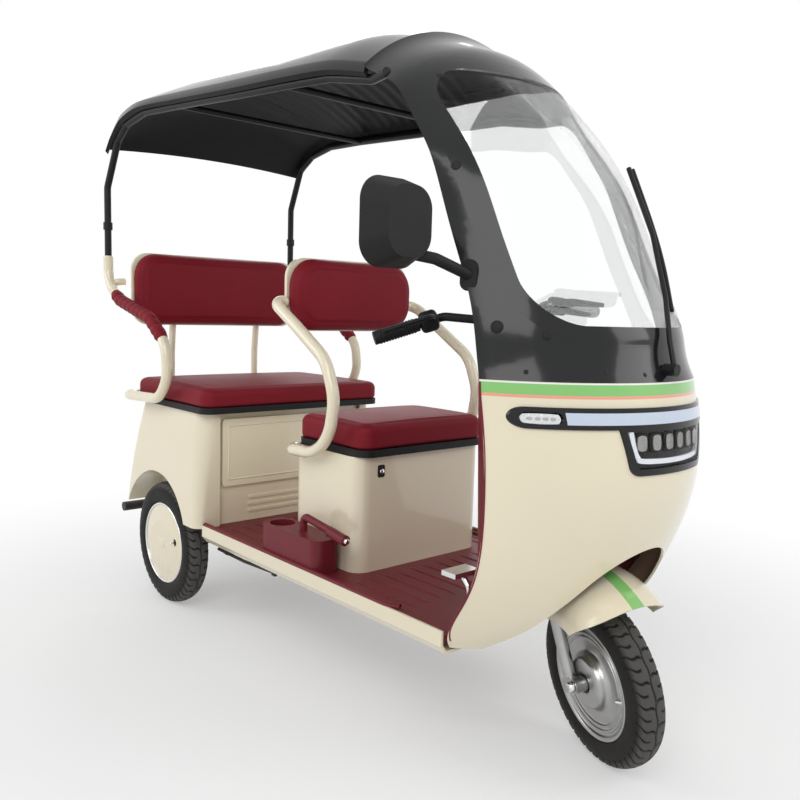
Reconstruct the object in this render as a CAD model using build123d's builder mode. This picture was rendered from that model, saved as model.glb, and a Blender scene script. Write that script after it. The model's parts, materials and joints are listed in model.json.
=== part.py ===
from build123d import *
import os
from math import cos, radians, sin, sqrt

# Electric mobility tricycle: a roofed three-wheeler with a driver's seat and a bench behind it.
# Millimetres. +X is forward, +Y is left, +Z is up, and the origin is on the ground
# under the middle of the rear axle. The front wheel is parked turned to the right.

# Stance
WHEELBASE = 1566.0
REAR_TRACK = 632.0
REAR_TYRE_R = 210.0
REAR_TYRE_W = 82.0
REAR_RIM_R = 142.0
FRONT_TYRE_R = 200.0
FRONT_TYRE_W = 78.0
FRONT_RIM_R = 137.0

# Steering
RAKE = 21.0
FORK_OFFSET = 29.5
PARKED_STEER = -21.0

# Body
BODY_HALF = 350.0
FLOOR_TOP = 320.0
FLOOR_PLATE = 12.0
WALL = 6.0
CLEAR = 0.5
SEAT_GAP = 0.3

# Places along the body
DOOR_WALL_X = 260.0
REAR_END_X = -262.0
POD_FRONT_X = 277.0
DECK_TOP = 690.0
BOX_REAR_X = 622.0
BOX_FRONT_X = 930.0
BOX_HALF = 240.0
BOX_TOP = 640.0
APRON_TOP = 900.0
TUBE_R = 17.0

# Front panel sections: height, x at the rear edges, half width there, x of the nose
APRON_SECTIONS = (
    (288.0, 1374.0, 322.0, 1515.0),
    (340.0, 1392.0, 344.0, 1566.0),
    (450.0, 1454.0, 350.0, 1626.0),
    (565.0, 1480.0, 350.0, 1678.0),
    (692.0, 1482.0, 351.0, 1708.0),
    (795.0, 1474.0, 353.0, 1702.0),
    (APRON_TOP, 1462.0, 357.0, 1680.0),
)
COWL_SECTIONS = (
    (APRON_TOP, 1462.0, 357.0, 1680.0),
    (1000.0, 1436.0, 350.0, 1646.0),
    (1080.0, 1408.0, 344.0, 1612.0),
    (1200.0, 1347.0, 336.0, 1556.0),
    (1320.0, 1293.0, 332.0, 1497.0),
)
# Brow sections, on planes that turn about a line across the cab from level to upright:
# angle, distance of the rear edges from that line, half width there, distance of the nose
BROW_X = 1036.0
BROW_Z = 1320.0
BROW_SECTIONS = (
    (18.0, 232.0, 331.0, 398.0),
    (35.0, 222.0, 331.0, 366.0),
    (52.0, 231.0, 332.0, 360.0),
    (70.0, 252.0, 334.0, 378.0),
    (90.0, 284.0, 338.0, 424.0),
)
# Hump of the leg shield over the steering, at its foot and its top: x of its face and half width
SHIELD_FOOT = (1235.0, 228.0)
SHIELD_TOP = (1185.0, 112.0)
SHIELD_LAP = 3.0
DASH_THICK = 5.0
floor_low = FLOOR_TOP - FLOOR_PLATE
shield_high = APRON_TOP - DASH_THICK
# Roof sections: x, half width, height of the eaves, height of the crown
ROOF_SECTIONS = (
    (-318.0, 411.0, 1575.0, 1592.0),
    (-270.0, 412.0, 1618.0, 1672.0),
    (-190.0, 412.0, 1664.0, 1745.0),
    (-60.0, 406.0, 1685.0, 1788.0),
    (150.0, 390.0, 1676.0, 1802.0),
    (480.0, 374.0, 1656.0, 1798.0),
    (700.0, 362.0, 1645.0, 1789.0),
    (880.0, 350.0, 1634.0, 1775.0),
    (BROW_X, BROW_SECTIONS[-1][2], BROW_Z + BROW_SECTIONS[-1][1], BROW_Z + BROW_SECTIONS[-1][3]),
)
ROOF_WALL = 10.0
ROOF_BAND = 16.0

# Steering frame: its origin is on the steering axis abeam the front axle, x points along the
# wheel, y along the axle and z up the steering axis, all as parked.
rake = radians(RAKE)
steer = radians(PARKED_STEER)
FRONT_CROWN_R = FRONT_TYRE_W / 2
axle_lean = -sin(rake) * sin(steer)
wheel_drop = (FRONT_TYRE_R - FRONT_CROWN_R) * sqrt(1 - axle_lean**2) + FRONT_CROWN_R
steer_origin = (
    WHEELBASE - FORK_OFFSET * cos(rake),
    0.0,
    wheel_drop - FORK_OFFSET * sin(rake) * cos(steer),
)
STEER = Plane(
    origin=steer_origin,
    x_dir=(cos(rake) * cos(steer), sin(steer), sin(rake) * cos(steer)),
    z_dir=(-sin(rake), 0.0, cos(rake)),
)
FRONT_HUB = STEER.from_local_coords((FORK_OFFSET, 0, 0))


def level_plane(z):
    """Level plane at a height: local x is forward and local y is left."""
    return Plane(origin=(0, 0, z), x_dir=(1, 0, 0), z_dir=(0, 0, 1))


def brow_plane(angle):
    """Plane through the brow line, turned up from level by the angle."""
    turn = radians(angle)
    return Plane(origin=(BROW_X, 0, BROW_Z), x_dir=(cos(turn), 0, sin(turn)), z_dir=(-sin(turn), 0, cos(turn)))


def arc_section(plane, sizes, grow, wall):
    """Section of a curved front panel: an arc through both rear edges and the nose."""
    x_rear, half_width, x_nose = sizes
    y_out = half_width + grow
    y_in = y_out - wall
    with BuildSketch(plane) as section:
        with BuildLine():
            ThreePointArc((x_rear, y_out), (x_nose + grow, 0), (x_rear, -y_out))
            Line((x_rear, -y_out), (x_rear, -y_in))
            ThreePointArc((x_rear, -y_in), (x_nose + grow - wall, 0), (x_rear, y_in))
            Line((x_rear, y_in), (x_rear, y_out))
        make_face()
    return section.sketch


def apron_sections(rows, grow, wall):
    """Sections of the apron, or of a panel that follows it."""
    return [arc_section(level_plane(row[0]), row[1:], grow, wall) for row in rows]


def cab_sections(grow, wall):
    """Sections of the cab front, from the cowl up and over the brow."""
    cowl = [arc_section(level_plane(row[0]), row[1:], grow, wall) for row in COWL_SECTIONS]
    brow = [arc_section(brow_plane(row[0]), row[1:], grow, wall) for row in BROW_SECTIONS]
    return cowl + brow


def apron_edge(z):
    """x and half width of the apron's rear edge at a height."""
    for below, above in zip(APRON_SECTIONS, APRON_SECTIONS[1:]):
        if z <= above[0]:
            share = (z - below[0]) / (above[0] - below[0])
            return [low + share * (high - low) for low, high in zip(below[1:3], above[1:3])]


def shield_hump(z):
    """x of the flat sides, x of the hump and its half width at a height."""
    share = (z - floor_low) / (shield_high - floor_low)
    hump_x, hump_half = [low + share * (high - low) for low, high in zip(SHIELD_FOOT, SHIELD_TOP)]
    return apron_edge(z)[0] - WALL + SHIELD_LAP, hump_x, hump_half


def shield_section(z):
    """Level section of the leg shield: flat sides and a round hump over the steering."""
    half_width = apron_edge(z)[1]
    x_side, x_hump, hump_half = shield_hump(z)
    depth = x_side - x_hump
    hump_r = (hump_half**2 + depth**2) / (2 * depth)
    x_front = x_side + WALL
    inner_half = sqrt((hump_r - WALL) ** 2 - (x_front - x_hump - hump_r) ** 2)
    with BuildSketch(level_plane(z)) as section:
        with BuildLine():
            Line((x_side, half_width), (x_side, hump_half))
            ThreePointArc((x_side, hump_half), (x_hump, 0), (x_side, -hump_half))
            Line((x_side, -hump_half), (x_side, -half_width))
            Line((x_side, -half_width), (x_front, -half_width))
            Line((x_front, -half_width), (x_front, -inner_half))
            ThreePointArc((x_front, -inner_half), (x_hump + WALL, 0), (x_front, inner_half))
            Line((x_front, inner_half), (x_front, half_width))
            Line((x_front, half_width), (x_side, half_width))
        make_face()
    return section.sketch


def roof_section(row):
    """Upright section of the roof: an arched sheet with a band hanging down each side."""
    x, half_width, z_eaves, z_crown = row
    half_in = half_width - ROOF_WALL
    z_low = z_eaves - ROOF_BAND
    across = Plane(origin=(x, 0, 0), x_dir=(0, 1, 0), z_dir=(1, 0, 0))
    with BuildSketch(across) as section:
        with BuildLine():
            Line((half_width, z_low), (half_width, z_eaves))
            ThreePointArc((half_width, z_eaves), (0, z_crown), (-half_width, z_eaves))
            Line((-half_width, z_eaves), (-half_width, z_low))
            Line((-half_width, z_low), (-half_in, z_low))
            Line((-half_in, z_low), (-half_in, z_eaves - ROOF_WALL))
            ThreePointArc(
                (-half_in, z_eaves - ROOF_WALL),
                (0, z_crown - ROOF_WALL),
                (half_in, z_eaves - ROOF_WALL),
            )
            Line((half_in, z_eaves - ROOF_WALL), (half_in, z_low))
            Line((half_in, z_low), (half_width, z_low))
        make_face()
    return section.sketch


def bent_path(points, bend, plane=Plane.XY):
    """Straight runs through the points, joined by arcs of one radius."""
    with BuildLine(plane) as path:
        FilletPolyline(*points, radius=bend)
    return path.line


def round_end(path, radius):
    """Disc at the start of a path, square to it."""
    with BuildSketch(Plane(origin=path @ 0, z_dir=path % 0)) as end:
        Circle(radius)
    return end.sketch


def front_view(x):
    """Plane across the vehicle at x: local x is across and local y is up."""
    return Plane(origin=(x, 0, 0), x_dir=(0, 1, 0), z_dir=(1, 0, 0))


def side_view(y):
    """Plane along the vehicle at y: local x is forward and local y is up."""
    return Plane(origin=(0, y, 0), x_dir=(1, 0, 0), z_dir=(0, -1, 0))


def tyre_section(plane, tyre_r, tyre_w, rim_r):
    """Section of a tyre through the axle: local x along the axle, local y the radius."""
    half = tyre_w / 2
    bead = half * 0.74
    shoulder = tyre_r - half * 0.42
    belly = (rim_r + shoulder) / 2
    with BuildSketch(plane) as section:
        with BuildLine():
            ThreePointArc((-bead, rim_r), (-half, belly), (-half * 0.8, shoulder))
            ThreePointArc((-half * 0.8, shoulder), (0, tyre_r), (half * 0.8, shoulder))
            ThreePointArc((half * 0.8, shoulder), (half, belly), (bead, rim_r))
            Line((bead, rim_r), (-bead, rim_r))
        make_face()
    return section.sketch


def outline_section(plane, points):
    """Closed outline of straight lines on a plane."""
    with BuildSketch(plane) as section:
        with BuildLine():
            Polyline(*points, close=True)
        make_face()
    return section.sketch


# Wheels

REAR_HUB_R = 36.0
AXLE_STUB_R = 12.5
AXLE_BORE_R = AXLE_STUB_R + CLEAR
RIM_WALL = 8.0
rear_half = REAR_TYRE_W / 2
rim_half = rear_half * 0.74
CAP_DOME = 9.0
AXLE_TIP_DEPTH = 52.0


def rear_wheel_plane(side):
    """Section plane of a rear wheel, with local x pointing away from the vehicle."""
    return Plane(
        origin=(0, side * REAR_TRACK / 2, REAR_TYRE_R),
        x_dir=(0, side, 0),
        z_dir=(side, 0, 0),
    )


def rear_disc_section(side):
    """Half section of a rear wheel: rim barrel, closed outer face and hub."""
    hub_in = -rim_half - 6
    return outline_section(
        rear_wheel_plane(side),
        (
            (rim_half + CAP_DOME, 0),
            (rim_half + CAP_DOME, REAR_RIM_R * 0.55),
            (rim_half + 2, REAR_RIM_R - RIM_WALL),
            (rim_half, REAR_RIM_R),
            (-rim_half, REAR_RIM_R),
            (-rim_half, REAR_RIM_R - RIM_WALL),
            (rim_half - RIM_WALL, REAR_RIM_R - RIM_WALL),
            (rim_half - RIM_WALL, REAR_HUB_R),
            (hub_in, REAR_HUB_R),
            (hub_in, AXLE_BORE_R),
            (hub_in + AXLE_TIP_DEPTH, AXLE_BORE_R),
            (hub_in + AXLE_TIP_DEPTH, 0),
        ),
    )


RIGHT_AXLE = Axis((0, -REAR_TRACK / 2, REAR_TYRE_R), (0, 1, 0))
LEFT_AXLE = Axis((0, REAR_TRACK / 2, REAR_TYRE_R), (0, 1, 0))

with BuildPart() as rear_tyre_right:
    revolve(tyre_section(rear_wheel_plane(-1), REAR_TYRE_R, REAR_TYRE_W, REAR_RIM_R), axis=RIGHT_AXLE)

with BuildPart() as rear_tyre_left:
    revolve(tyre_section(rear_wheel_plane(1), REAR_TYRE_R, REAR_TYRE_W, REAR_RIM_R), axis=LEFT_AXLE)

with BuildPart() as rear_wheel_right:
    revolve(rear_disc_section(-1), axis=RIGHT_AXLE)

with BuildPart() as rear_wheel_left:
    revolve(rear_disc_section(1), axis=LEFT_AXLE)

FRONT_AXLE_R = 7.0
FRONT_HUB_HALF = 40.0
DRUM_R = 68.0
front_wheel_plane = Plane(origin=FRONT_HUB, x_dir=STEER.y_dir, z_dir=STEER.x_dir)
FRONT_AXLE = Axis(FRONT_HUB, STEER.y_dir)
front_rim_half = FRONT_TYRE_W / 2 * 0.74

with BuildPart() as front_tyre:
    revolve(tyre_section(front_wheel_plane, FRONT_TYRE_R, FRONT_TYRE_W, FRONT_RIM_R), axis=FRONT_AXLE)

with BuildPart() as front_rim:
    revolve(
        outline_section(
            front_wheel_plane,
            (
                (-FRONT_HUB_HALF, FRONT_AXLE_R + CLEAR),
                (-FRONT_HUB_HALF, DRUM_R),
                (-front_rim_half + RIM_WALL, DRUM_R + 6),
                (-front_rim_half + 2 * RIM_WALL, FRONT_RIM_R - 2 * RIM_WALL),
                (-front_rim_half, FRONT_RIM_R - RIM_WALL),
                (-front_rim_half, FRONT_RIM_R),
                (front_rim_half, FRONT_RIM_R),
                (front_rim_half, FRONT_RIM_R - RIM_WALL),
                (front_rim_half - 2 * RIM_WALL, FRONT_RIM_R - 2 * RIM_WALL),
                (front_rim_half - RIM_WALL, DRUM_R + 6),
                (FRONT_HUB_HALF, DRUM_R),
                (FRONT_HUB_HALF, FRONT_AXLE_R + CLEAR),
            ),
        ),
        axis=FRONT_AXLE,
    )

# Fork, mudguard and bars, drawn in the steering frame

LEG_R = 15.0
LEG_Y = 62.0
CROWN_Z = 345.0
CROWN_THICK = 34.0
STEERER_R = 14.0
STEM_TOP = 892.0
HEAD_BOTTOM = CROWN_Z + CROWN_THICK + 6
HEAD_LENGTH = 185.0
HEAD_R = 25.0
AXLE_NUT_Y = 90.0

with BuildPart() as fork:
    with BuildSketch(STEER):
        with Locations((0, LEG_Y), (0, -LEG_Y)):
            Circle(LEG_R)
    extrude(amount=CROWN_Z)
    with BuildSketch(STEER.offset(CROWN_Z)):
        SlotOverall(2 * (LEG_Y + LEG_R) + 8, 2 * LEG_R + 12, rotation=90)
    extrude(amount=CROWN_THICK)
    with BuildSketch(STEER.offset(CROWN_Z + CROWN_THICK)):
        Circle(STEERER_R)
    extrude(amount=STEM_TOP - CROWN_Z - CROWN_THICK)
    with BuildSketch(Plane(origin=FRONT_HUB, x_dir=STEER.x_dir, z_dir=STEER.y_dir).offset(-AXLE_NUT_Y)):
        Circle(FRONT_AXLE_R)
    extrude(amount=2 * AXLE_NUT_Y)
    for lug_y in (LEG_Y, -LEG_Y):
        lug_plane = Plane(
            origin=STEER.from_local_coords((FORK_OFFSET / 2, lug_y - LEG_R, 0)),
            x_dir=STEER.x_dir,
            z_dir=STEER.y_dir,
        )
        with BuildSketch(lug_plane):
            SlotOverall(FORK_OFFSET + 2 * LEG_R + 8, 2 * LEG_R + 4)
        extrude(amount=2 * LEG_R)

GUARD_R = 276.0
GUARD_HALF = 98.0
GUARD_SHOULDER_R = 236.0
GUARD_SKIRT_R = 184.0
GUARD_WALL = 4.0
GUARD_REAR = 142.0 - RAKE
GUARD_FRONT = 61.0 - RAKE
guard_angle = radians(GUARD_REAR)
guard_radial = STEER.x_dir * cos(guard_angle) + STEER.z_dir * sin(guard_angle)
guard_plane = Plane(origin=FRONT_HUB, x_dir=STEER.y_dir, z_dir=STEER.y_dir.cross(guard_radial))

with BuildPart() as front_fender:
    with BuildSketch(guard_plane) as guard_profile:
        with BuildLine():
            Line((-GUARD_HALF, GUARD_SKIRT_R), (-GUARD_HALF, GUARD_SHOULDER_R))
            ThreePointArc((-GUARD_HALF, GUARD_SHOULDER_R), (0, GUARD_R), (GUARD_HALF, GUARD_SHOULDER_R))
            Line((GUARD_HALF, GUARD_SHOULDER_R), (GUARD_HALF, GUARD_SKIRT_R))
            Line((GUARD_HALF, GUARD_SKIRT_R), (GUARD_HALF - GUARD_WALL, GUARD_SKIRT_R))
            Line((GUARD_HALF - GUARD_WALL, GUARD_SKIRT_R), (GUARD_HALF - GUARD_WALL, GUARD_SHOULDER_R - 2))
            ThreePointArc(
                (GUARD_HALF - GUARD_WALL, GUARD_SHOULDER_R - 2),
                (0, GUARD_R - GUARD_WALL),
                (-GUARD_HALF + GUARD_WALL, GUARD_SHOULDER_R - 2),
            )
            Line((-GUARD_HALF + GUARD_WALL, GUARD_SHOULDER_R - 2), (-GUARD_HALF + GUARD_WALL, GUARD_SKIRT_R))
            Line((-GUARD_HALF + GUARD_WALL, GUARD_SKIRT_R), (-GUARD_HALF, GUARD_SKIRT_R))
        make_face()
    revolve(axis=FRONT_AXLE, revolution_arc=GUARD_REAR - GUARD_FRONT)
    with BuildSketch(STEER):
        with Locations((0, LEG_Y), (0, -LEG_Y)):
            Circle(LEG_R)
    extrude(amount=CROWN_Z, mode=Mode.SUBTRACT)

BAR_R = 11.0
GRIP_R = 17.0
GRIP_LENGTH = 118.0
BAR_HALF = 325.0
BAR_SWEEP = 92.0
BAR_RISE_Z = 930.0
BAR_RISE_Y = 150.0
BAR_END_Z = 908.0
bar_points = (
    (-BAR_SWEEP, -BAR_HALF, BAR_END_Z),
    (-BAR_SWEEP / 2, -BAR_RISE_Y, BAR_RISE_Z),
    (0, -BAR_RISE_Y / 3, STEM_TOP),
    (0, BAR_RISE_Y / 3, STEM_TOP),
    (-BAR_SWEEP / 2, BAR_RISE_Y, BAR_RISE_Z),
    (-BAR_SWEEP, BAR_HALF, BAR_END_Z),
)
bar_path = bent_path(bar_points, 40, STEER)

with BuildPart() as handlebar:
    sweep(sections=round_end(bar_path, BAR_R), path=bar_path)
    with BuildSketch(STEER.offset(STEM_TOP - 50)):
        Circle(STEERER_R + 12)
    extrude(amount=50 + BAR_R + 8)
    with BuildSketch(STEER.offset(STEM_TOP - 50)):
        Circle(STEERER_R)
    extrude(amount=50, mode=Mode.SUBTRACT)

with BuildPart() as grips:
    for end, inner in ((bar_points[0], bar_points[1]), (bar_points[5], bar_points[4])):
        outer_end = Vector(*STEER.from_local_coords(end))
        towards = (Vector(*STEER.from_local_coords(inner)) - outer_end).normalized()
        with BuildSketch(Plane(origin=outer_end - towards * 4, z_dir=towards)):
            Circle(GRIP_R)
        extrude(amount=GRIP_LENGTH)
        with BuildSketch(Plane(origin=outer_end, z_dir=towards)):
            Circle(BAR_R)
        extrude(amount=GRIP_LENGTH, mode=Mode.SUBTRACT)

LEVER_R = 6.0
PERCH_R = BAR_R + 7
PERCH_LENGTH = 24.0
PERCH_REACH = 22.0
LEVER_STAND = 50.0
with BuildPart() as brake_levers:
    for end, inner in ((bar_points[0], bar_points[1]), (bar_points[5], bar_points[4])):
        outer_end = Vector(*end)
        bar_run = (outer_end - Vector(*inner)).normalized()
        perch = Vector(*inner) + bar_run * PERCH_REACH
        stand = Vector(LEVER_STAND, 0, 0)
        perch_origin = STEER.from_local_coords(tuple(perch))
        perch_plane = Plane(origin=perch_origin, z_dir=STEER.from_local_coords(tuple(perch + bar_run)) - perch_origin)
        with BuildSketch(perch_plane):
            Circle(PERCH_R)
        extrude(amount=PERCH_LENGTH)
        lever_start = perch + bar_run * PERCH_LENGTH / 2 + Vector(BAR_R + LEVER_R / 2, 0, 0)
        lever_points = (lever_start, perch + bar_run * PERCH_LENGTH + stand, outer_end + stand - bar_run * LEVER_R)
        lever_path = bent_path([tuple(point) for point in lever_points], 20, STEER)
        sweep(sections=round_end(lever_path, LEVER_R), path=lever_path)
        with BuildSketch(perch_plane):
            Circle(BAR_R)
        extrude(amount=PERCH_LENGTH, mode=Mode.SUBTRACT)

# Underframe, axle and springs

RAIL_Y = 180.0
RAIL_R = 19.0
RAIL_Z = floor_low - RAIL_R
RAIL_FRONT_X = 1100.0
RAIL_REAR_X = -320.0
DOWN_TUBE_X = 1290.0
DOWN_TUBE_Y = 70.0
DOWN_TUBE_RISE = 140.0
DOWN_TUBE_LEAN = 18.0
DOWN_TUBE_SHARE = 0.72
CROSS_X = (-300.0, 320.0, 780.0, 1060.0)
BRAKE_ROD_Y = 268.0
BRAKE_ROD_Z = 238.0
BRAKE_ROD_R = 5.0
BRAKE_PIVOT_X = 574.0
BRAKE_PIVOT_R = 9.0
BRAKE_ROD_KNEE_X = 400.0
BRAKE_ROD_END_X = 222.0
AXLE_TUBE_R = 30.0
head_foot = STEER.from_local_coords((0, 0, HEAD_BOTTOM + HEAD_LENGTH * DOWN_TUBE_SHARE))

with BuildPart() as underframe:
    for side in (-1, 1):
        rail_path = bent_path(
            (
                (RAIL_REAR_X, side * RAIL_Y, RAIL_Z),
                (RAIL_FRONT_X, side * RAIL_Y, RAIL_Z),
                (DOWN_TUBE_X, side * DOWN_TUBE_Y, RAIL_Z),
                (DOWN_TUBE_X + DOWN_TUBE_LEAN, side * DOWN_TUBE_Y / 2, RAIL_Z + DOWN_TUBE_RISE),
                (head_foot.X - HEAD_R / 2, side * HEAD_R / 2, head_foot.Z),
            ),
            40,
        )
        sweep(sections=round_end(rail_path, RAIL_R), path=rail_path)
    for x in CROSS_X:
        with BuildSketch(side_view(RAIL_Y)):
            with Locations((x, RAIL_Z)):
                Circle(RAIL_R * 0.8)
        extrude(amount=2 * RAIL_Y)
    with BuildSketch(STEER.offset(HEAD_BOTTOM)):
        Circle(HEAD_R)
    extrude(amount=HEAD_LENGTH)
    with BuildSketch(STEER.offset(HEAD_BOTTOM)):
        Circle(STEERER_R + CLEAR)
    extrude(amount=HEAD_LENGTH, mode=Mode.SUBTRACT)
    with BuildSketch(side_view(-RAIL_Y)):
        with Locations((BRAKE_PIVOT_X, RAIL_Z)):
            Circle(BRAKE_PIVOT_R)
    extrude(amount=BRAKE_ROD_Y - RAIL_Y)
    with Locations((BRAKE_PIVOT_X, -BRAKE_ROD_Y, (RAIL_Z + BRAKE_ROD_Z) / 2)):
        Box(2 * BRAKE_PIVOT_R, BRAKE_PIVOT_R, RAIL_Z - BRAKE_ROD_Z + 2 * BRAKE_PIVOT_R)
    brake_rod_path = bent_path(
        (
            (BRAKE_PIVOT_X, -BRAKE_ROD_Y, BRAKE_ROD_Z),
            (BRAKE_ROD_KNEE_X, -BRAKE_ROD_Y, BRAKE_ROD_Z - BRAKE_PIVOT_R),
            (BRAKE_ROD_END_X, -BRAKE_ROD_Y + BRAKE_PIVOT_R, REAR_TYRE_R + AXLE_TUBE_R / 2),
        ),
        60,
    )
    sweep(sections=round_end(brake_rod_path, BRAKE_ROD_R), path=brake_rod_path)

MOTOR_R = 88.0
MOTOR_HALF = 105.0
axle_tip_y = REAR_TRACK / 2 - rim_half - 6 + AXLE_TIP_DEPTH - 4
AXLE_TUBE_HALF = REAR_TRACK / 2 - rim_half - 6 - 8

with BuildPart() as rear_axle:
    for radius, half_length in ((AXLE_TUBE_R, AXLE_TUBE_HALF), (AXLE_STUB_R, axle_tip_y), (MOTOR_R, MOTOR_HALF)):
        with BuildSketch(side_view(half_length)):
            with Locations((0, REAR_TYRE_R)):
                Circle(radius)
        extrude(amount=2 * half_length)

SPRING_W = 45.0
SPRING_T = 10.0
SPRING_HALF = 260.0
with BuildPart() as leaf_springs:
    with BuildSketch(side_view(RAIL_Y + SPRING_W / 2)):
        with BuildLine():
            spring_low = REAR_TYRE_R + AXLE_TUBE_R
            spring_high = RAIL_Z - RAIL_R
            spring_eye = spring_high - SPRING_T
            ThreePointArc(
                (-SPRING_HALF, spring_high), (0, spring_low + SPRING_T), (SPRING_HALF, spring_high)
            )
            Line((SPRING_HALF, spring_high), (SPRING_HALF, spring_eye))
            ThreePointArc((SPRING_HALF, spring_eye), (0, spring_low), (-SPRING_HALF, spring_eye))
            Line((-SPRING_HALF, spring_eye), (-SPRING_HALF, spring_high))
        make_face()
    extrude(amount=SPRING_W)
    mirror(about=Plane.XZ)

# Apron and lamps

# Wheel opening in the apron, seen from the front: half width at the mouth and the top
ARCH_MOUTH_HALF = 300.0
ARCH_KNEE_HALF = 222.0
ARCH_KNEE_Z = 345.0
ARCH_SIDE_HALF = 148.0
ARCH_SIDE_Z = 450.0
ARCH_TOP_Z = 530.0
ARCH_FLOOR_Z = 250.0
ARCH_DEPTH = 500.0


def arch_outline(plane):
    """Outline of the wheel opening on a plane across the vehicle."""
    with BuildSketch(plane) as outline:
        with BuildLine():
            Polyline(
                (-ARCH_KNEE_HALF, ARCH_KNEE_Z),
                (-ARCH_MOUTH_HALF, ARCH_FLOOR_Z),
                (ARCH_MOUTH_HALF, ARCH_FLOOR_Z),
                (ARCH_KNEE_HALF, ARCH_KNEE_Z),
            )
            Line((ARCH_KNEE_HALF, ARCH_KNEE_Z), (ARCH_SIDE_HALF, ARCH_SIDE_Z))
            ThreePointArc((ARCH_SIDE_HALF, ARCH_SIDE_Z), (0, ARCH_TOP_Z), (-ARCH_SIDE_HALF, ARCH_SIDE_Z))
            Line((-ARCH_SIDE_HALF, ARCH_SIDE_Z), (-ARCH_KNEE_HALF, ARCH_KNEE_Z))
        make_face()
    return outline.sketch


# Lamps, seen from the front
LAMP_BAR_HALF = 330.0
LAMP_BAR_LOW = 806.0
LAMP_BAR_HIGH = 850.0
HEADLAMP_HALF = 162.0
HEADLAMP_LOW = 710.0
LAMP_PROUD = 4.0
LAMP_DEPTH = 16.0
TURN_LENS_LENGTH = 62.0
TURN_LENS_H = 24.0
TURN_LENS_Y = 288.0
GUIDE_HALF = 250.0
GUIDE_H = 22.0
LENS_MARGIN = 14.0
HEADLAMP_CORNER = 26.0
lamp_bar_z = (LAMP_BAR_LOW + LAMP_BAR_HIGH) / 2
lamp_bar_h = LAMP_BAR_HIGH - LAMP_BAR_LOW
LAMP_PLANE_X = APRON_SECTIONS[0][1]
LAMP_REACH = 500.0


def lamp_outline(plane):
    """Outline of the lamp bar with the headlamp hanging below it."""
    with BuildSketch(plane) as outline:
        with Locations((0, lamp_bar_z)):
            SlotOverall(2 * LAMP_BAR_HALF, lamp_bar_h)
        with BuildLine():
            Polyline(
                (-HEADLAMP_HALF, lamp_bar_z),
                (-HEADLAMP_HALF + 30, HEADLAMP_LOW),
                (HEADLAMP_HALF - 30, HEADLAMP_LOW),
                (HEADLAMP_HALF, lamp_bar_z),
                close=True,
            )
        make_face()
        fillet(outline.vertices().group_by(Axis.Y)[0], HEADLAMP_CORNER)
    return outline.sketch


def lens_outline(plane):
    """Outlines of the turn lenses, the light guide and the headlamp lens."""
    with BuildSketch(plane) as outline:
        with Locations((TURN_LENS_Y, lamp_bar_z), (-TURN_LENS_Y, lamp_bar_z)):
            SlotOverall(TURN_LENS_LENGTH, TURN_LENS_H)
        with Locations((0, lamp_bar_z)):
            Rectangle(2 * GUIDE_HALF, GUIDE_H)
        with BuildLine():
            lens_top = LAMP_BAR_LOW - 4
            Polyline(
                (-HEADLAMP_HALF + LENS_MARGIN + 6, lens_top),
                (-HEADLAMP_HALF + 30 + LENS_MARGIN, HEADLAMP_LOW + LENS_MARGIN),
                (HEADLAMP_HALF - 30 - LENS_MARGIN, HEADLAMP_LOW + LENS_MARGIN),
                (HEADLAMP_HALF - LENS_MARGIN - 6, lens_top),
                close=True,
            )
        make_face()
        fillet(outline.vertices().group_by(Axis.Y)[0], HEADLAMP_CORNER - LENS_MARGIN)
    return outline.sketch


with BuildPart() as front_apron:
    loft(apron_sections(APRON_SECTIONS, 0, WALL))
    extrude(arch_outline(front_view(LAMP_PLANE_X)), amount=ARCH_DEPTH, mode=Mode.SUBTRACT)
    extrude(lamp_outline(front_view(LAMP_PLANE_X)), amount=LAMP_REACH, mode=Mode.SUBTRACT)

with BuildPart() as lamp_bezel:
    loft(apron_sections(APRON_SECTIONS[3:], LAMP_PROUD, LAMP_DEPTH))
    extrude(lamp_outline(front_view(LAMP_PLANE_X)), amount=LAMP_REACH, mode=Mode.INTERSECT)
    extrude(lens_outline(front_view(LAMP_PLANE_X)), amount=LAMP_REACH, mode=Mode.SUBTRACT)

with BuildPart() as lamp_lenses:
    loft(apron_sections(APRON_SECTIONS[3:], LAMP_PROUD - 1, LAMP_DEPTH - 4))
    extrude(lens_outline(front_view(LAMP_PLANE_X)), amount=LAMP_REACH, mode=Mode.INTERSECT)

# Leg shield, floor and sills

LIP = 12.0
foot_side_x, foot_hump_half = shield_hump(floor_low)[::2]
floor_front_x = foot_side_x - SHIELD_LAP
floor_hump_half = foot_hump_half + SEAT_GAP
floor_nose_x = shield_hump(FLOOR_TOP)[1] - SEAT_GAP
floor_half = BODY_HALF - WALL
shield_heights = (floor_low, *[row[0] for row in APRON_SECTIONS[1:-1]], shield_high)

with BuildPart() as leg_shield:
    loft([shield_section(z) for z in shield_heights])
    add(front_apron.part, mode=Mode.SUBTRACT)

with BuildPart() as floor_board:
    with BuildSketch(level_plane(floor_low)):
        with BuildLine():
            Line((DOOR_WALL_X, -floor_half), (DOOR_WALL_X, floor_half))
            Line((DOOR_WALL_X, floor_half), (floor_front_x, floor_half))
            Line((floor_front_x, floor_half), (floor_front_x, floor_hump_half))
            ThreePointArc((floor_front_x, floor_hump_half), (floor_nose_x, 0), (floor_front_x, -floor_hump_half))
            Line((floor_front_x, -floor_hump_half), (floor_front_x, -floor_half))
            Line((floor_front_x, -floor_half), (DOOR_WALL_X, -floor_half))
        make_face()
    extrude(amount=FLOOR_PLATE)

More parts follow.
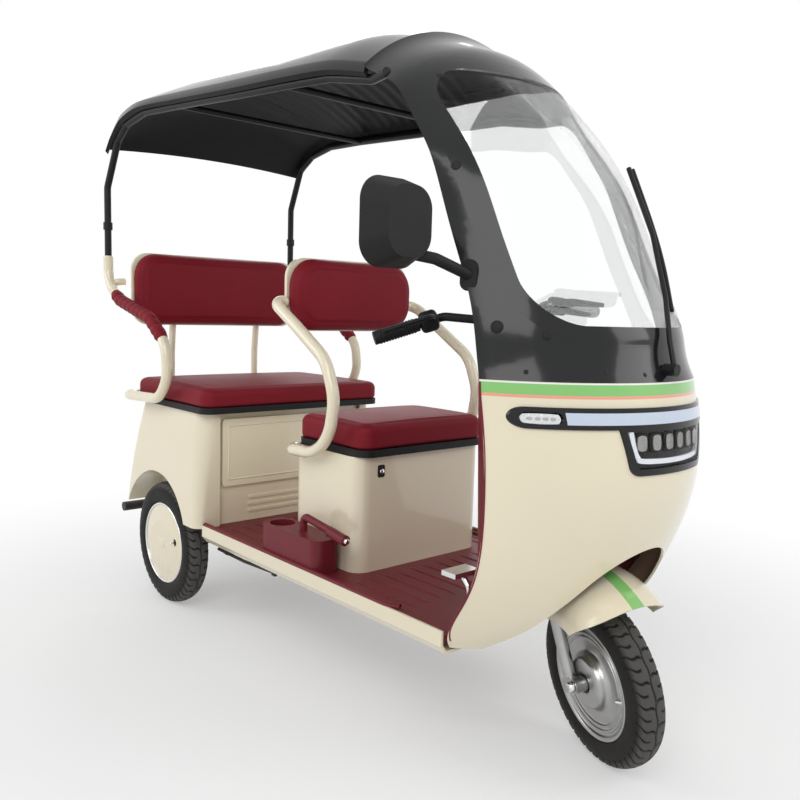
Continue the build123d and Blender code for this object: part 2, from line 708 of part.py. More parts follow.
SILL_DROP = 32.0
SILL_FLANGE = 70.0
sill_length = APRON_SECTIONS[0][1] - POD_FRONT_X
with BuildPart() as side_sills:
    with BuildSketch(front_view(POD_FRONT_X)):
        with BuildLine():
            sill_top = FLOOR_TOP + LIP
            sill_low = floor_low - SILL_DROP
            Polyline(
                (BODY_HALF - WALL, sill_top),
                (BODY_HALF, sill_top),
                (BODY_HALF, sill_low + 20),
                (BODY_HALF - 16, sill_low),
                (BODY_HALF - SILL_FLANGE, sill_low),
                (BODY_HALF - SILL_FLANGE, sill_low + WALL),
                (BODY_HALF - 18, sill_low + WALL),
                (BODY_HALF - WALL, sill_low + 22),
                close=True,
            )
        make_face()
    extrude(amount=sill_length)
    mirror(about=Plane.XZ)

# Dash panel over the steering

COLUMN_HOLE_R = 62.0
top_side_x, top_hump_x, top_hump_half = shield_hump(shield_high)
apron_top_x, apron_top_half, apron_top_nose = APRON_SECTIONS[-1][1:]
dash_half = apron_top_half - WALL / 2
column_reach = (shield_high - steer_origin[2]) / cos(rake)
column_x = STEER.from_local_coords((0, 0, column_reach)).X
with BuildPart() as dash_panel:
    with BuildSketch(level_plane(shield_high)):
        with BuildLine():
            ThreePointArc((apron_top_x, dash_half), (apron_top_nose - WALL / 2, 0), (apron_top_x, -dash_half))
            Line((apron_top_x, -dash_half), (top_side_x, -top_hump_half))
            ThreePointArc((top_side_x, -top_hump_half), (top_hump_x, 0), (top_side_x, top_hump_half))
            Line((top_side_x, top_hump_half), (apron_top_x, dash_half))
        make_face()
        with Locations((column_x, 0)):
            Circle(COLUMN_HOLE_R, mode=Mode.SUBTRACT)
    extrude(amount=DASH_THICK)
    add(front_apron.part, mode=Mode.SUBTRACT)

# Cab: cowl with pillars, windscreen and its border

CAB_WALL = 10.0
SCREEN_HALF = 276.0
SCREEN_LOW = 1014.0
SCREEN_HIGH = 1592.0
SCREEN_CORNER = 95.0
BORDER = 36.0
SCREEN_THICK = 4.0
screen_mid = (SCREEN_LOW + SCREEN_HIGH) / 2
screen_h = SCREEN_HIGH - SCREEN_LOW
CAB_PLANE_X = 1000.0
CAB_REACH = 900.0


def screen_outline(plane, margin):
    """Rounded outline of the windscreen on a plane across the vehicle, grown by a margin."""
    with BuildSketch(plane) as outline:
        with Locations((0, screen_mid)):
            RectangleRounded(2 * (SCREEN_HALF + margin), screen_h + 2 * margin, SCREEN_CORNER + margin)
    return outline.sketch


with BuildPart() as cowl_pillars:
    loft(cab_sections(0, CAB_WALL))
    extrude(screen_outline(front_view(CAB_PLANE_X), BORDER), amount=CAB_REACH, mode=Mode.SUBTRACT)

with BuildPart() as windscreen_border:
    loft(cab_sections(0, CAB_WALL))
    extrude(screen_outline(front_view(CAB_PLANE_X), BORDER), amount=CAB_REACH, mode=Mode.INTERSECT)
    extrude(screen_outline(front_view(CAB_PLANE_X), 0), amount=CAB_REACH, mode=Mode.SUBTRACT)

with BuildPart() as windscreen:
    loft(cab_sections(-1, SCREEN_THICK))
    extrude(screen_outline(front_view(CAB_PLANE_X), 0), amount=CAB_REACH, mode=Mode.INTERSECT)

# Roof

with BuildPart() as roof:
    loft([roof_section(row) for row in ROOF_SECTIONS], ruled=True)

ROOF_TUBE_R = 12.0
RAIL_INSET = ROOF_WALL + ROOF_TUBE_R + 5
RAIL_DROP = ROOF_BAND + ROOF_TUBE_R
POST_X = -348.0
POST_Y = 392.0
POST_JOIN_Z = 1198.0
COLLAR_Z = 1290.0
COLLAR_H = 26.0
CROSS_ROWS = (4, 6)
RAIL_TAIL = 70.0

with BuildPart() as roof_frame:
    for side in (-1, 1):
        rail_points = [
            (x, side * (half - RAIL_INSET), z_eaves - RAIL_DROP) for x, half, z_eaves, z_crown in ROOF_SECTIONS[1:]
        ]
        post_path = bent_path(
            [
                (POST_X, side * POST_Y, POST_JOIN_Z),
                (POST_X, side * POST_Y, POST_JOIN_Z + 240),
                *rail_points,
                (BROW_X + RAIL_TAIL, side * (ROOF_SECTIONS[-1][1] - ROOF_TUBE_R), rail_points[-1][2]),
            ],
            30,
        )
        sweep(sections=round_end(post_path, ROOF_TUBE_R), path=post_path)
        with BuildSketch(Plane.XY.offset(COLLAR_Z)):
            with Locations((POST_X, side * POST_Y)):
                Circle(ROOF_TUBE_R + 4)
        extrude(amount=COLLAR_H)
    for row in CROSS_ROWS:
        x, half, z_eaves, z_crown = ROOF_SECTIONS[row]
        with BuildSketch(side_view(half - RAIL_INSET)):
            with Locations((x, z_eaves - RAIL_DROP)):
                Circle(ROOF_TUBE_R * 0.8)
        extrude(amount=2 * (half - RAIL_INSET))
    add(cowl_pillars.part, mode=Mode.SUBTRACT)

# Rear arm tubes: one continuous bend from post to post. Each point is x and height.
CROSS_TUBE_X = -250.0
CROSS_TUBE_Z = DECK_TOP + TUBE_R
REAR_ARM_POINTS = (
    (POST_X, POST_JOIN_Z),
    (POST_X, 1100.0),
    (-245.0, 1040.0),
    (-5.0, 983.0),
    (108.0, 905.0),
    (124.0, 795.0),
    (62.0, 720.0),
    (CROSS_TUBE_X, CROSS_TUBE_Z),
)
right_arm = [(x, -POST_Y, z) for x, z in REAR_ARM_POINTS]
left_arm = [(x, POST_Y, z) for x, z in reversed(REAR_ARM_POINTS)]
rear_arm_path = bent_path(right_arm + left_arm, 45)

with BuildPart() as rear_arm_tubes:
    sweep(sections=round_end(rear_arm_path, TUBE_R), path=rear_arm_path)

# Rear body: side pods over the wheels, and the box between them

ARCH_R = 231.0
ARCH_X = -18.0
ARCH_Z = 230.0
POD_LOW = FLOOR_TOP
POD_Y_IN = REAR_TRACK / 2 - REAR_TYRE_W / 2 - 13
# Pod sections: height, x of the rear end, half width of the body, corner radius
POD_SECTIONS = (
    (POD_LOW, REAR_END_X + 4, 374.0, 30.0),
    (480.0, -238.0, 366.0, 45.0),
    (DECK_TOP, -190.0, 346.0, 60.0),
)
DOOR_WALL_HALF = 286.0
DOOR_WALL_THICK = 10.0


def pod_section(z, x_rear, x_front, y_in, y_out, corner):
    """Level section of the left rear pod, with its two outer corners rounded."""
    with BuildSketch(Plane.XY.offset(z)) as section:
        with Locations(((x_rear + x_front) / 2, (y_in + y_out) / 2)):
            Rectangle(x_front - x_rear, y_out - y_in)
        fillet(section.vertices().group_by(Axis.Y)[-1], corner)
    return section.sketch


with BuildPart() as rear_pods:
    loft([pod_section(z, rear, POD_FRONT_X, POD_Y_IN, half, corner) for z, rear, half, corner in POD_SECTIONS])
    loft(
        [
            pod_section(z - WALL, rear + WALL, POD_FRONT_X - WALL, POD_Y_IN - WALL, half - WALL, corner - WALL)
            for z, rear, half, corner in POD_SECTIONS
        ],
        mode=Mode.SUBTRACT,
    )
    with BuildSketch(side_view(POD_SECTIONS[0][2] - WALL)):
        with Locations((ARCH_X, ARCH_Z)):
            Circle(ARCH_R + WALL)
        with Locations((ARCH_X, POD_LOW)):
            Rectangle(4 * ARCH_R, 4 * ARCH_R, align=(Align.CENTER, Align.MAX), mode=Mode.SUBTRACT)
    extrude(amount=POD_SECTIONS[0][2] - WALL - POD_Y_IN)
    with BuildSketch(side_view(POD_SECTIONS[0][2] + WALL)):
        with Locations((ARCH_X, ARCH_Z)):
            Circle(ARCH_R)
    extrude(amount=POD_SECTIONS[0][2] + 2 * WALL - POD_Y_IN, mode=Mode.SUBTRACT)
    with Locations((POD_FRONT_X, POD_Y_IN, POD_LOW)):
        Box(
            2 * (POD_FRONT_X - DOOR_WALL_X + DOOR_WALL_THICK),
            2 * (DOOR_WALL_HALF - POD_Y_IN),
            2 * (DECK_TOP - POD_LOW),
            mode=Mode.SUBTRACT,
        )
    mirror(about=Plane.XZ)

BOX_FLOOR = floor_low
RIB_HEIGHTS = (353.0, 375.5, 398.0)
RIB_HALF = 171.0
RIB_H = 9.0
RIB_PROUD = 4.0
DOOR_HALF = 274.0
DOOR_LOW = 447.0
DOOR_HIGH = 668.0
DOOR_LAP = 20.0
DOOR_THICK = 12.0
box_half = POD_Y_IN - SEAT_GAP
box_length = DOOR_WALL_X - REAR_END_X
box_mid_x = (DOOR_WALL_X + REAR_END_X) / 2
door_mid_z = (DOOR_LOW + DOOR_HIGH) / 2

with BuildPart() as rear_box:
    with BuildSketch(Plane.XY.offset(BOX_FLOOR)):
        with Locations((box_mid_x, 0)):
            Rectangle(box_length, 2 * box_half)
        with Locations((DOOR_WALL_X - DOOR_WALL_THICK / 2, 0)):
            Rectangle(DOOR_WALL_THICK, 2 * (DOOR_WALL_HALF - SEAT_GAP))
    extrude(amount=DECK_TOP - BOX_FLOOR)
    with BuildSketch(Plane.XY.offset(BOX_FLOOR + WALL)):
        with Locations((box_mid_x - DOOR_WALL_THICK / 2 + WALL / 2, 0)):
            Rectangle(box_length - WALL - DOOR_WALL_THICK, 2 * (box_half - WALL))
    extrude(amount=DECK_TOP - BOX_FLOOR, mode=Mode.SUBTRACT)
    with BuildSketch(front_view(DOOR_WALL_X)):
        with Locations((0, door_mid_z)):
            Rectangle(2 * (box_half - DOOR_LAP), DOOR_HIGH - DOOR_LOW - 2 * DOOR_LAP)
    extrude(amount=-2 * DOOR_WALL_THICK, mode=Mode.SUBTRACT)
    with BuildSketch(front_view(DOOR_WALL_X)):
        with Locations(*[(0, z) for z in RIB_HEIGHTS]):
            SlotOverall(2 * RIB_HALF, RIB_H)
    extrude(amount=RIB_PROUD)

with BuildPart() as storage_door:
    with BuildSketch(front_view(DOOR_WALL_X + SEAT_GAP)):
        with Locations((0, door_mid_z)):
            RectangleRounded(2 * DOOR_HALF, DOOR_HIGH - DOOR_LOW, 10)
    extrude(amount=DOOR_THICK)

# Bench lid and its backrest

BENCH_REAR_X = -205.0
BENCH_FRONT_X = 306.0
BENCH_HALF = 356.0
PAN_H = 20.0
CUSHION_H = 70.0

with BuildPart() as bench_pan:
    with BuildSketch(Plane.XY.offset(DECK_TOP + SEAT_GAP)):
        with Locations(((BENCH_REAR_X + BENCH_FRONT_X) / 2, 0)):
            RectangleRounded(BENCH_FRONT_X - BENCH_REAR_X, 2 * BENCH_HALF, 40)
    extrude(amount=PAN_H)

with BuildPart() as bench_cushion:
    with BuildSketch(Plane.XY.offset(DECK_TOP + SEAT_GAP + PAN_H)):
        with Locations(((BENCH_REAR_X + BENCH_FRONT_X) / 2, 0)):
            RectangleRounded(BENCH_FRONT_X - BENCH_REAR_X, 2 * BENCH_HALF, 40)
    extrude(amount=CUSHION_H)
    fillet(bench_cushion.faces().sort_by(Axis.Z)[-1].edges(), 26)

# Backrests: x of the pad's face, thickness, half width, lower and upper edge, post x and half spacing
BACK_THICK = 52.0
SHELL_THICK = 12.0
BACK_CORNER = 60.0
POST_R = 12.5
REAR_BACK_X = -200.0
REAR_BACK_HALF = 345.0
REAR_BACK_LOW = 955.0
REAR_BACK_HIGH = 1212.0
DRIVER_BACK_X = 622.0
DRIVER_BACK_HALF = 234.0
DRIVER_BACK_LOW = 965.0
DRIVER_BACK_HIGH = 1180.0


def back_outline(plane, half, low, high):
    """Rounded outline of a backrest on a plane across the vehicle."""
    with BuildSketch(plane) as outline:
        with Locations((0, (low + high) / 2)):
            RectangleRounded(2 * half, high - low, BACK_CORNER)
    return outline.sketch


with BuildPart() as rear_backrest_pad:
    extrude(
        back_outline(front_view(REAR_BACK_X), REAR_BACK_HALF, REAR_BACK_LOW, REAR_BACK_HIGH),
        amount=-BACK_THICK,
    )
    fillet(rear_backrest_pad.faces().sort_by(Axis.X)[-1].edges(), 20)

rear_shell_x = REAR_BACK_X - BACK_THICK
REAR_POST_X = REAR_END_X - POST_R - 8
rear_stay_x = rear_shell_x - SHELL_THICK - 4
rear_post_path = bent_path(
    (
        (REAR_POST_X, -RAIL_Y, RAIL_Z + RAIL_R),
        (REAR_POST_X, -RAIL_Y, REAR_BACK_LOW - 100),
        (rear_stay_x, -RAIL_Y, REAR_BACK_LOW + 40),
        (rear_stay_x, -RAIL_Y, REAR_BACK_HIGH - 60),
    ),
    60,
)
with BuildPart() as rear_backrest_frame:
    sweep(sections=round_end(rear_post_path, POST_R), path=rear_post_path)
    mirror(about=Plane.XZ)
    extrude(
        back_outline(front_view(rear_shell_x), REAR_BACK_HALF, REAR_BACK_LOW, REAR_BACK_HIGH),
        amount=-SHELL_THICK,
    )

with BuildPart() as driver_backrest_pad:
    extrude(
        back_outline(front_view(DRIVER_BACK_X), DRIVER_BACK_HALF, DRIVER_BACK_LOW, DRIVER_BACK_HIGH),
        amount=-BACK_THICK,
    )
    fillet(driver_backrest_pad.faces().sort_by(Axis.X)[-1].edges(), 20)

driver_shell_x = DRIVER_BACK_X - BACK_THICK
with BuildPart() as driver_backrest_frame:
    extrude(
        back_outline(front_view(driver_shell_x), DRIVER_BACK_HALF, DRIVER_BACK_LOW, DRIVER_BACK_HIGH),
        amount=-SHELL_THICK,
    )

# Driver's seat box, lid and arm tubes

BOX_CORNER = 45.0
with BuildPart() as driver_seat_box:
    with BuildSketch(Plane.XY.offset(FLOOR_TOP)):
        with Locations(((BOX_REAR_X + BOX_FRONT_X) / 2, 0)):
            RectangleRounded(BOX_FRONT_X - BOX_REAR_X, 2 * BOX_HALF, BOX_CORNER)
            RectangleRounded(
                BOX_FRONT_X - BOX_REAR_X - 2 * WALL,
                2 * (BOX_HALF - WALL),
                BOX_CORNER - WALL,
                mode=Mode.SUBTRACT,
            )
    extrude(amount=BOX_TOP - FLOOR_TOP)

BATTERY_SIZE = (230.0, 380.0, 190.0)
with BuildPart() as battery_pack:
    with Locations(((BOX_REAR_X + BOX_FRONT_X) / 2, 0, FLOOR_TOP)):
        Box(*BATTERY_SIZE, align=(Align.CENTER, Align.CENTER, Align.MIN))

SEAT_REAR_X = BOX_REAR_X + 8
SEAT_FRONT_X = BOX_FRONT_X + 16
SEAT_HALF = 236.0
SEAT_CUSHION_H = 78.0

with BuildPart() as driver_seat_pan:
    with BuildSketch(Plane.XY.offset(BOX_TOP + SEAT_GAP)):
        with Locations(((SEAT_REAR_X + SEAT_FRONT_X) / 2, 0)):
            RectangleRounded(SEAT_FRONT_X - SEAT_REAR_X, 2 * SEAT_HALF, 40)
    extrude(amount=PAN_H)

with BuildPart() as driver_cushion:
    with BuildSketch(Plane.XY.offset(BOX_TOP + SEAT_GAP + PAN_H)):
        with Locations(((SEAT_REAR_X + SEAT_FRONT_X) / 2, 0)):
            RectangleRounded(SEAT_FRONT_X - SEAT_REAR_X, 2 * SEAT_HALF, 40)
    extrude(amount=SEAT_CUSHION_H)
    fillet(driver_cushion.faces().sort_by(Axis.Z)[-1].edges(), 26)

DRIVER_ARM_Y = 276.0
DRIVER_ARM_POINTS = (
    (driver_shell_x, 1050.0),
    (690.0, 978.0),
    (826.0, 895.0),
    (866.0, 795.0),
    (846.0, 680.0),
    (768.0, 634.0),
    (650.0, 630.0),
)
driver_arm_path = bent_path([(x, -DRIVER_ARM_Y, z) for x, z in DRIVER_ARM_POINTS], 40)
with BuildPart() as driver_arm_tubes:
    sweep(sections=round_end(driver_arm_path, TUBE_R), path=driver_arm_path)
    for point, y_seat in ((DRIVER_ARM_POINTS[0], DRIVER_BACK_HALF), (DRIVER_ARM_POINTS[-1], BOX_HALF)):
        with BuildSketch(side_view(-DRIVER_ARM_Y)):
            with Locations(point):
                Circle(TUBE_R)
        extrude(amount=-(DRIVER_ARM_Y - y_seat))
    mirror(about=Plane.XZ)

# Floor fittings

CONSOLE_X = (600.0, 880.0)
CONSOLE_Y = (-338.0, -250.0)
CONSOLE_H = 95.0
CUP_R = 37.0
CUP_DEPTH = 80.0
CUP_X = 655.0
console_y = (CONSOLE_Y[0] + CONSOLE_Y[1]) / 2
with BuildPart() as hand_brake_console:
    with BuildSketch(Plane.XY.offset(FLOOR_TOP)):
        with Locations(((CONSOLE_X[0] + CONSOLE_X[1]) / 2, console_y)):
            RectangleRounded(CONSOLE_X[1] - CONSOLE_X[0], CONSOLE_Y[1] - CONSOLE_Y[0], 30)
    extrude(amount=CONSOLE_H)
    with BuildSketch(Plane.XY.offset(FLOOR_TOP + CONSOLE_H)):
        with Locations((CUP_X, console_y)):
            Circle(CUP_R)
    extrude(amount=-CUP_DEPTH, mode=Mode.SUBTRACT)

LEVER_FOOT_X = 760.0
with BuildPart() as hand_brake_lever:
    hand_lever_path = bent_path(
        (
            (LEVER_FOOT_X, console_y, FLOOR_TOP + CONSOLE_H),
            (LEVER_FOOT_X, console_y, FLOOR_TOP + CONSOLE_H + 42),
            (LEVER_FOOT_X + 190, console_y, FLOOR_TOP + CONSOLE_H + 18),
        ),
        18,
    )
    sweep(sections=round_end(hand_lever_path, 11), path=hand_lever_path)

PEDAL_X = 1290.0
PEDAL_Y = -210.0
PEDAL_Z = 420.0
with BuildPart() as brake_pedal:
    with Locations((PEDAL_X, PEDAL_Y, PEDAL_Z)):
        Box(46, 80, 12)
    pedal_path = bent_path(
        (
            (PEDAL_X, PEDAL_Y, PEDAL_Z),
            (PEDAL_X + 30, PEDAL_Y, PEDAL_Z - 30),
            (PEDAL_X + 30, PEDAL_Y, FLOOR_TOP),
        ),
        15,
    )
    sweep(sections=round_end(pedal_path, 8), path=pedal_path)

# Mirror on the right pillar

MIRROR_CENTRE = (1375.0, -508.0, 1207.0)
MIRROR_W = 156.0
MIRROR_H = 178.0
MIRROR_DEPTH = 62.0
MIRROR_BASE = (1402.0, -336.0, 1112.0)
MIRROR_BASE_OUT = (0.49, -0.87, 0.0)
MIRROR_BASE_W = 36.0
MIRROR_BASE_H = 66.0
MIRROR_BASE_THICK = 16.0
MIRROR_ARM_R = 12.0
MIRROR_PIVOT = (1398.0, -432.0, 1140.0)
mirror_back = Plane(
    origin=(MIRROR_CENTRE[0] + MIRROR_DEPTH / 2, MIRROR_CENTRE[1], MIRROR_CENTRE[2]),
    x_dir=(0, 1, 0),
    z_dir=(1, 0, 0),
)
with BuildPart() as mirror_housing:
    with BuildSketch(mirror_back.offset(-MIRROR_DEPTH)):
        RectangleRounded(MIRROR_W, MIRROR_H, 50)
    with BuildSketch(mirror_back):
        RectangleRounded(MIRROR_W * 0.72, MIRROR_H * 0.78, 45)
    loft()
    mirror_arm_path = bent_path(
        (
            (MIRROR_CENTRE[0], MIRROR_CENTRE[1] + MIRROR_W / 5, MIRROR_CENTRE[2] - MIRROR_H / 3),
            MIRROR_PIVOT,
            MIRROR_BASE,
        ),
        25,
    )
    sweep(sections=round_end(mirror_arm_path, MIRROR_ARM_R), path=mirror_arm_path)
    base_plane = Plane(origin=MIRROR_BASE, x_dir=(0, 0, 1), z_dir=MIRROR_BASE_OUT)
    with BuildSketch(base_plane.offset(-MIRROR_BASE_THICK / 2)):
        SlotOverall(MIRROR_BASE_H, MIRROR_BASE_W)
    extrude(amount=MIRROR_BASE_THICK)
    add(cowl_pillars.part, mode=Mode.SUBTRACT)

with BuildPart() as mirror_glass:
    with BuildSketch(mirror_back.offset(-MIRROR_DEPTH)):
        RectangleRounded(MIRROR_W - 14, MIRROR_H - 14, 44)
    extrude(amount=-2)

# Wiper: a boss on the cowl and an arm bent up over the screen
WIPER_R = 6.0
WIPER_BOSS_R = 13.0
WIPER_BOSS_LENGTH = 30.0
WIPER_POINTS = (
    (1692.0, 0, 926.0),
    (1668.0, 14.0, 985.0),
    (1630.0, 48.0, 1080.0),
    (1548.0, 112.0, 1225.0),
    (1447.0, 152.0, 1388.0),
)
wiper_path = bent_path(WIPER_POINTS, 60)
with BuildPart() as wiper:
    sweep(sections=round_end(wiper_path, WIPER_R), path=wiper_path)
    with BuildSketch(front_view(WIPER_POINTS[0][0] + WIPER_R)):
        with Locations((WIPER_POINTS[0][1], WIPER_POINTS[0][2])):
            Circle(WIPER_BOSS_R)
    extrude(amount=-WIPER_BOSS_LENGTH)
    add(cowl_pillars.part, mode=Mode.SUBTRACT)

# Rear end
BUMPER_X = -345.0
BUMPER_Z = 268.0
BUMPER_HALF = 345.0
with BuildPart() as rear_bumper:
    with BuildSketch(side_view(BUMPER_HALF)):
        with Locations((BUMPER_X, BUMPER_Z)):
            Circle(TUBE_R)
    extrude(amount=2 * BUMPER_HALF)
    for side in (-1, 1):
        with BuildSketch(front_view(BUMPER_X)):
            with Locations((side * RAIL_Y, BUMPER_Z)):
                Circle(TUBE_R * 0.9)
        extrude(amount=RAIL_REAR_X - BUMPER_X)

TAIL_LAMP_Z = 560.0
TAIL_LAMP_Y = 222.0
with BuildPart() as tail_lamps:
    with BuildSketch(front_view(REAR_END_X)):
        with Locations((-TAIL_LAMP_Y, TAIL_LAMP_Z), (TAIL_LAMP_Y, TAIL_LAMP_Z)):
            RectangleRounded(50, 120, 16)
    extrude(amount=-12)

PIECES = {
    "rear_tyre_right": rear_tyre_right,
    "rear_tyre_left": rear_tyre_left,
    "rear_wheel_right": rear_wheel_right,
    "rear_wheel_left": rear_wheel_left,
    "front_tyre": front_tyre,
    "front_rim": front_rim,
    "fork": fork,
    "front_fender": front_fender,
    "handlebar": handlebar,
    "grips": grips,
    "brake_levers": brake_levers,
    "underframe": underframe,
    "rear_axle": rear_axle,
    "leaf_springs": leaf_springs,
    "floor_board": floor_board,
    "side_sills": side_sills,
    "front_apron": front_apron,
    "lamp_bezel": lamp_bezel,
    "lamp_lenses": lamp_lenses,
    "leg_shield": leg_shield,
    "dash_panel": dash_panel,
    "cowl_pillars": cowl_pillars,
    "windscreen_border": windscreen_border,
    "windscreen": windscreen,
    "roof": roof,
    "roof_frame": roof_frame,
    "rear_arm_tubes": rear_arm_tubes,
    "rear_pods": rear_pods,
    "rear_box": rear_box,
    "storage_door": storage_door,
    "bench_pan": bench_pan,
    "bench_cushion": bench_cushion,
    "rear_backrest_pad": rear_backrest_pad,
    "rear_backrest_frame": rear_backrest_frame,
    "driver_backrest_pad": driver_backrest_pad,
    "driver_backrest_frame": driver_backrest_frame,
    "driver_seat_box": driver_seat_box,
    "battery_pack": battery_pack,
    "driver_seat_pan": driver_seat_pan,
    "driver_cushion": driver_cushion,
    "driver_arm_tubes": driver_arm_tubes,
    "hand_brake_console": hand_brake_console,
    "hand_brake_lever": hand_brake_lever,
    "brake_pedal": brake_pedal,
    "mirror_housing": mirror_housing,
    "mirror_glass": mirror_glass,
    "wiper": wiper,
    "rear_bumper": rear_bumper,
    "tail_lamps": tail_lamps,
}

os.makedirs("parts", exist_ok=True)
for name, piece in PIECES.items():
    piece.part.label = name
    export_step(piece.part, f"parts/{name}.step")
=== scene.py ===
"""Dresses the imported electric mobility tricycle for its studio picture.

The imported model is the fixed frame. Tyres, the front rim, the mudguard, arm tubes, cushions, the roof
skin, lamp details and trim are new surfaces worked out with numpy; the other nodes keep their shapes and
get better finishes.
"""
from __future__ import annotations

import json
import logging
from dataclasses import dataclass
from enum import Enum
from math import cos, pi, radians, sin

import bmesh
import bpy
import numpy as np
from mathutils import Matrix, Vector
from mathutils.bvhtree import BVHTree

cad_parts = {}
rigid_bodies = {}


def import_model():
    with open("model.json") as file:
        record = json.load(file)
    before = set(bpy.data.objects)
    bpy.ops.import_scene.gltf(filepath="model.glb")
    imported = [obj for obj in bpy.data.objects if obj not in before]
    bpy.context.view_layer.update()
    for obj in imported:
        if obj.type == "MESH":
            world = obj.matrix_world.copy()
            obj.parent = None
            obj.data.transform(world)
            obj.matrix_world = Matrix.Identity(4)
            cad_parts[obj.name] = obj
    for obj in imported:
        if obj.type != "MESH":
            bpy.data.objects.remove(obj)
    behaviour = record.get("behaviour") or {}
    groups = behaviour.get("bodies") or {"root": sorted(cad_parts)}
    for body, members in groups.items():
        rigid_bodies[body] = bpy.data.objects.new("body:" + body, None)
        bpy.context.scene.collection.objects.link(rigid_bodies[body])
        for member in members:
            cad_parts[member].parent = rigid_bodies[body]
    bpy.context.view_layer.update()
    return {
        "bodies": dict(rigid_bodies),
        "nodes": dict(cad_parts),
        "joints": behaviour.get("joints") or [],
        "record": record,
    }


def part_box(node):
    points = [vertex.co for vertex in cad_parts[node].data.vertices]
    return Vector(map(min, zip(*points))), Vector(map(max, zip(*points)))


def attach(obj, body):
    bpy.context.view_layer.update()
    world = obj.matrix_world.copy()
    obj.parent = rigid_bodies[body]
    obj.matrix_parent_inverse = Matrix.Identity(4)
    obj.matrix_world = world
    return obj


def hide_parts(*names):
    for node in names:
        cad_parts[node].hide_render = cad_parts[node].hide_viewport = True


log = logging.getLogger("tricycle")
Array = np.ndarray
Colour = tuple[float, float, float]
Faces = list[tuple[int, ...]]
Piece = bpy.types.Object
Socket = bpy.types.NodeSocket

CREAM: Colour = (0.83, 0.745, 0.56)
MAROON: Colour = (0.205, 0.013, 0.022)
FLOOR_MAROON: Colour = (0.155, 0.012, 0.021)
GREEN: Colour = (0.24, 0.57, 0.16)
SALMON: Colour = (0.88, 0.37, 0.25)
WHITE: Colour = (0.88, 0.88, 0.86)
BLACK: Colour = (0.012, 0.0125, 0.0135)
SILVER: Colour = (0.42, 0.42, 0.415)
DUST: Colour = (0.42, 0.37, 0.30)


class Slot(Enum):
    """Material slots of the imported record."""

    CREAM = "cream_paint"
    GLOSS = "black_gloss"
    BLACK_PAINT = "black_paint"
    PLASTIC = "black_plastic"
    MAROON = "maroon_plastic"
    LEATHER = "maroon_leather"
    LENS = "clear_lens"
    TYRE = "tyre"
    ALLOY = "silver_alloy"
    CAP = "wheel_cap"
    RED = "red_lens"


# Meshes


def link_mesh(name: str, points: Array, faces: Faces, smooth: bool = True) -> Piece:
    """Makes an object from points and faces.

    Args:
        name: name of the piece.
        points: array of shape (n, 3), in metres.
        faces: vertex numbers of each face, pointing outwards.
        smooth: whether the faces shade smoothly.

    Returns:
        The new object, at the origin.
    """
    mesh = bpy.data.meshes.new(name)
    mesh.from_pydata(np.asarray(points, float).reshape(-1, 3).tolist(), [], faces)
    mesh.validate()
    graph = bmesh.new()
    graph.from_mesh(mesh)
    bmesh.ops.remove_doubles(graph, verts=graph.verts, dist=1e-6)
    bmesh.ops.recalc_face_normals(graph, faces=graph.faces)
    graph.to_mesh(mesh)
    graph.free()
    mesh.polygons.foreach_set("use_smooth", np.full(len(mesh.polygons), smooth))
    obj = bpy.data.objects.new(name, mesh)
    bpy.context.scene.collection.objects.link(obj)
    return obj


def grid_faces(rows: int, columns: int, wrap_rows: bool, wrap_columns: bool, start: int = 0) -> Faces:
    """Quads of a grid of points, counted row by row.

    Args:
        rows: number of rows.
        columns: number of points in a row.
        wrap_rows: whether the last row joins the first.
        wrap_columns: whether the last point of a row joins the first.
        start: number of the grid's first point.

    Returns:
        Vertex numbers of each quad.
    """
    numbers = np.arange(rows * columns).reshape(rows, columns) + start
    if wrap_rows:
        numbers = np.vstack([numbers, numbers[:1]])
    if wrap_columns:
        numbers = np.hstack([numbers, numbers[:, :1]])
    quads = np.stack([numbers[:-1, :-1], numbers[:-1, 1:], numbers[1:, 1:], numbers[1:, :-1]], axis=-1)
    return [tuple(quad) for quad in quads.reshape(-1, 4).tolist()]


def grid_piece(name: str, points: Array, wrap_rows: bool = False, wrap_columns: bool = False) -> Piece:
    """Makes a piece from a grid of points of shape (rows, columns, 3)."""
    rows, columns = points.shape[:2]
    return link_mesh(name, points, grid_faces(rows, columns, wrap_rows, wrap_columns))


def capped_faces(rows: int, columns: int, start: int = 0) -> Faces:
    """Faces of a grid whose rows are closed loops, with a face over each end."""
    last = start + (rows - 1) * columns
    ends = [tuple(range(start, start + columns)), tuple(range(last, last + columns))[::-1]]
    return grid_faces(rows, columns, False, True, start) + ends


def points_of(obj: Piece) -> Array:
    """Vertex places of a piece, of shape (n, 3)."""
    points = np.empty(len(obj.data.vertices) * 3)
    obj.data.vertices.foreach_get("co", points)
    return points.reshape(-1, 3)


def frames_along(path: Array) -> tuple[Array, Array]:
    """Two directions square to a path at each of its points.

    Args:
        path: points of shape (n, 3).

    Returns:
        Two arrays of unit vectors, carried along so that they turn about the path no more than they must.
    """
    run = np.gradient(path, axis=0)
    run /= np.linalg.norm(run, axis=1, keepdims=True)
    side = np.cross(run[0], (0.0, 0.0, 1.0) if abs(run[0][2]) < 0.9 else (1.0, 0.0, 0.0))
    sides = np.zeros_like(path)
    for row, along in enumerate(run):
        side = side - along * np.dot(side, along)
        side = side / np.linalg.norm(side)
        sides[row] = side
    return sides, np.cross(run, sides)


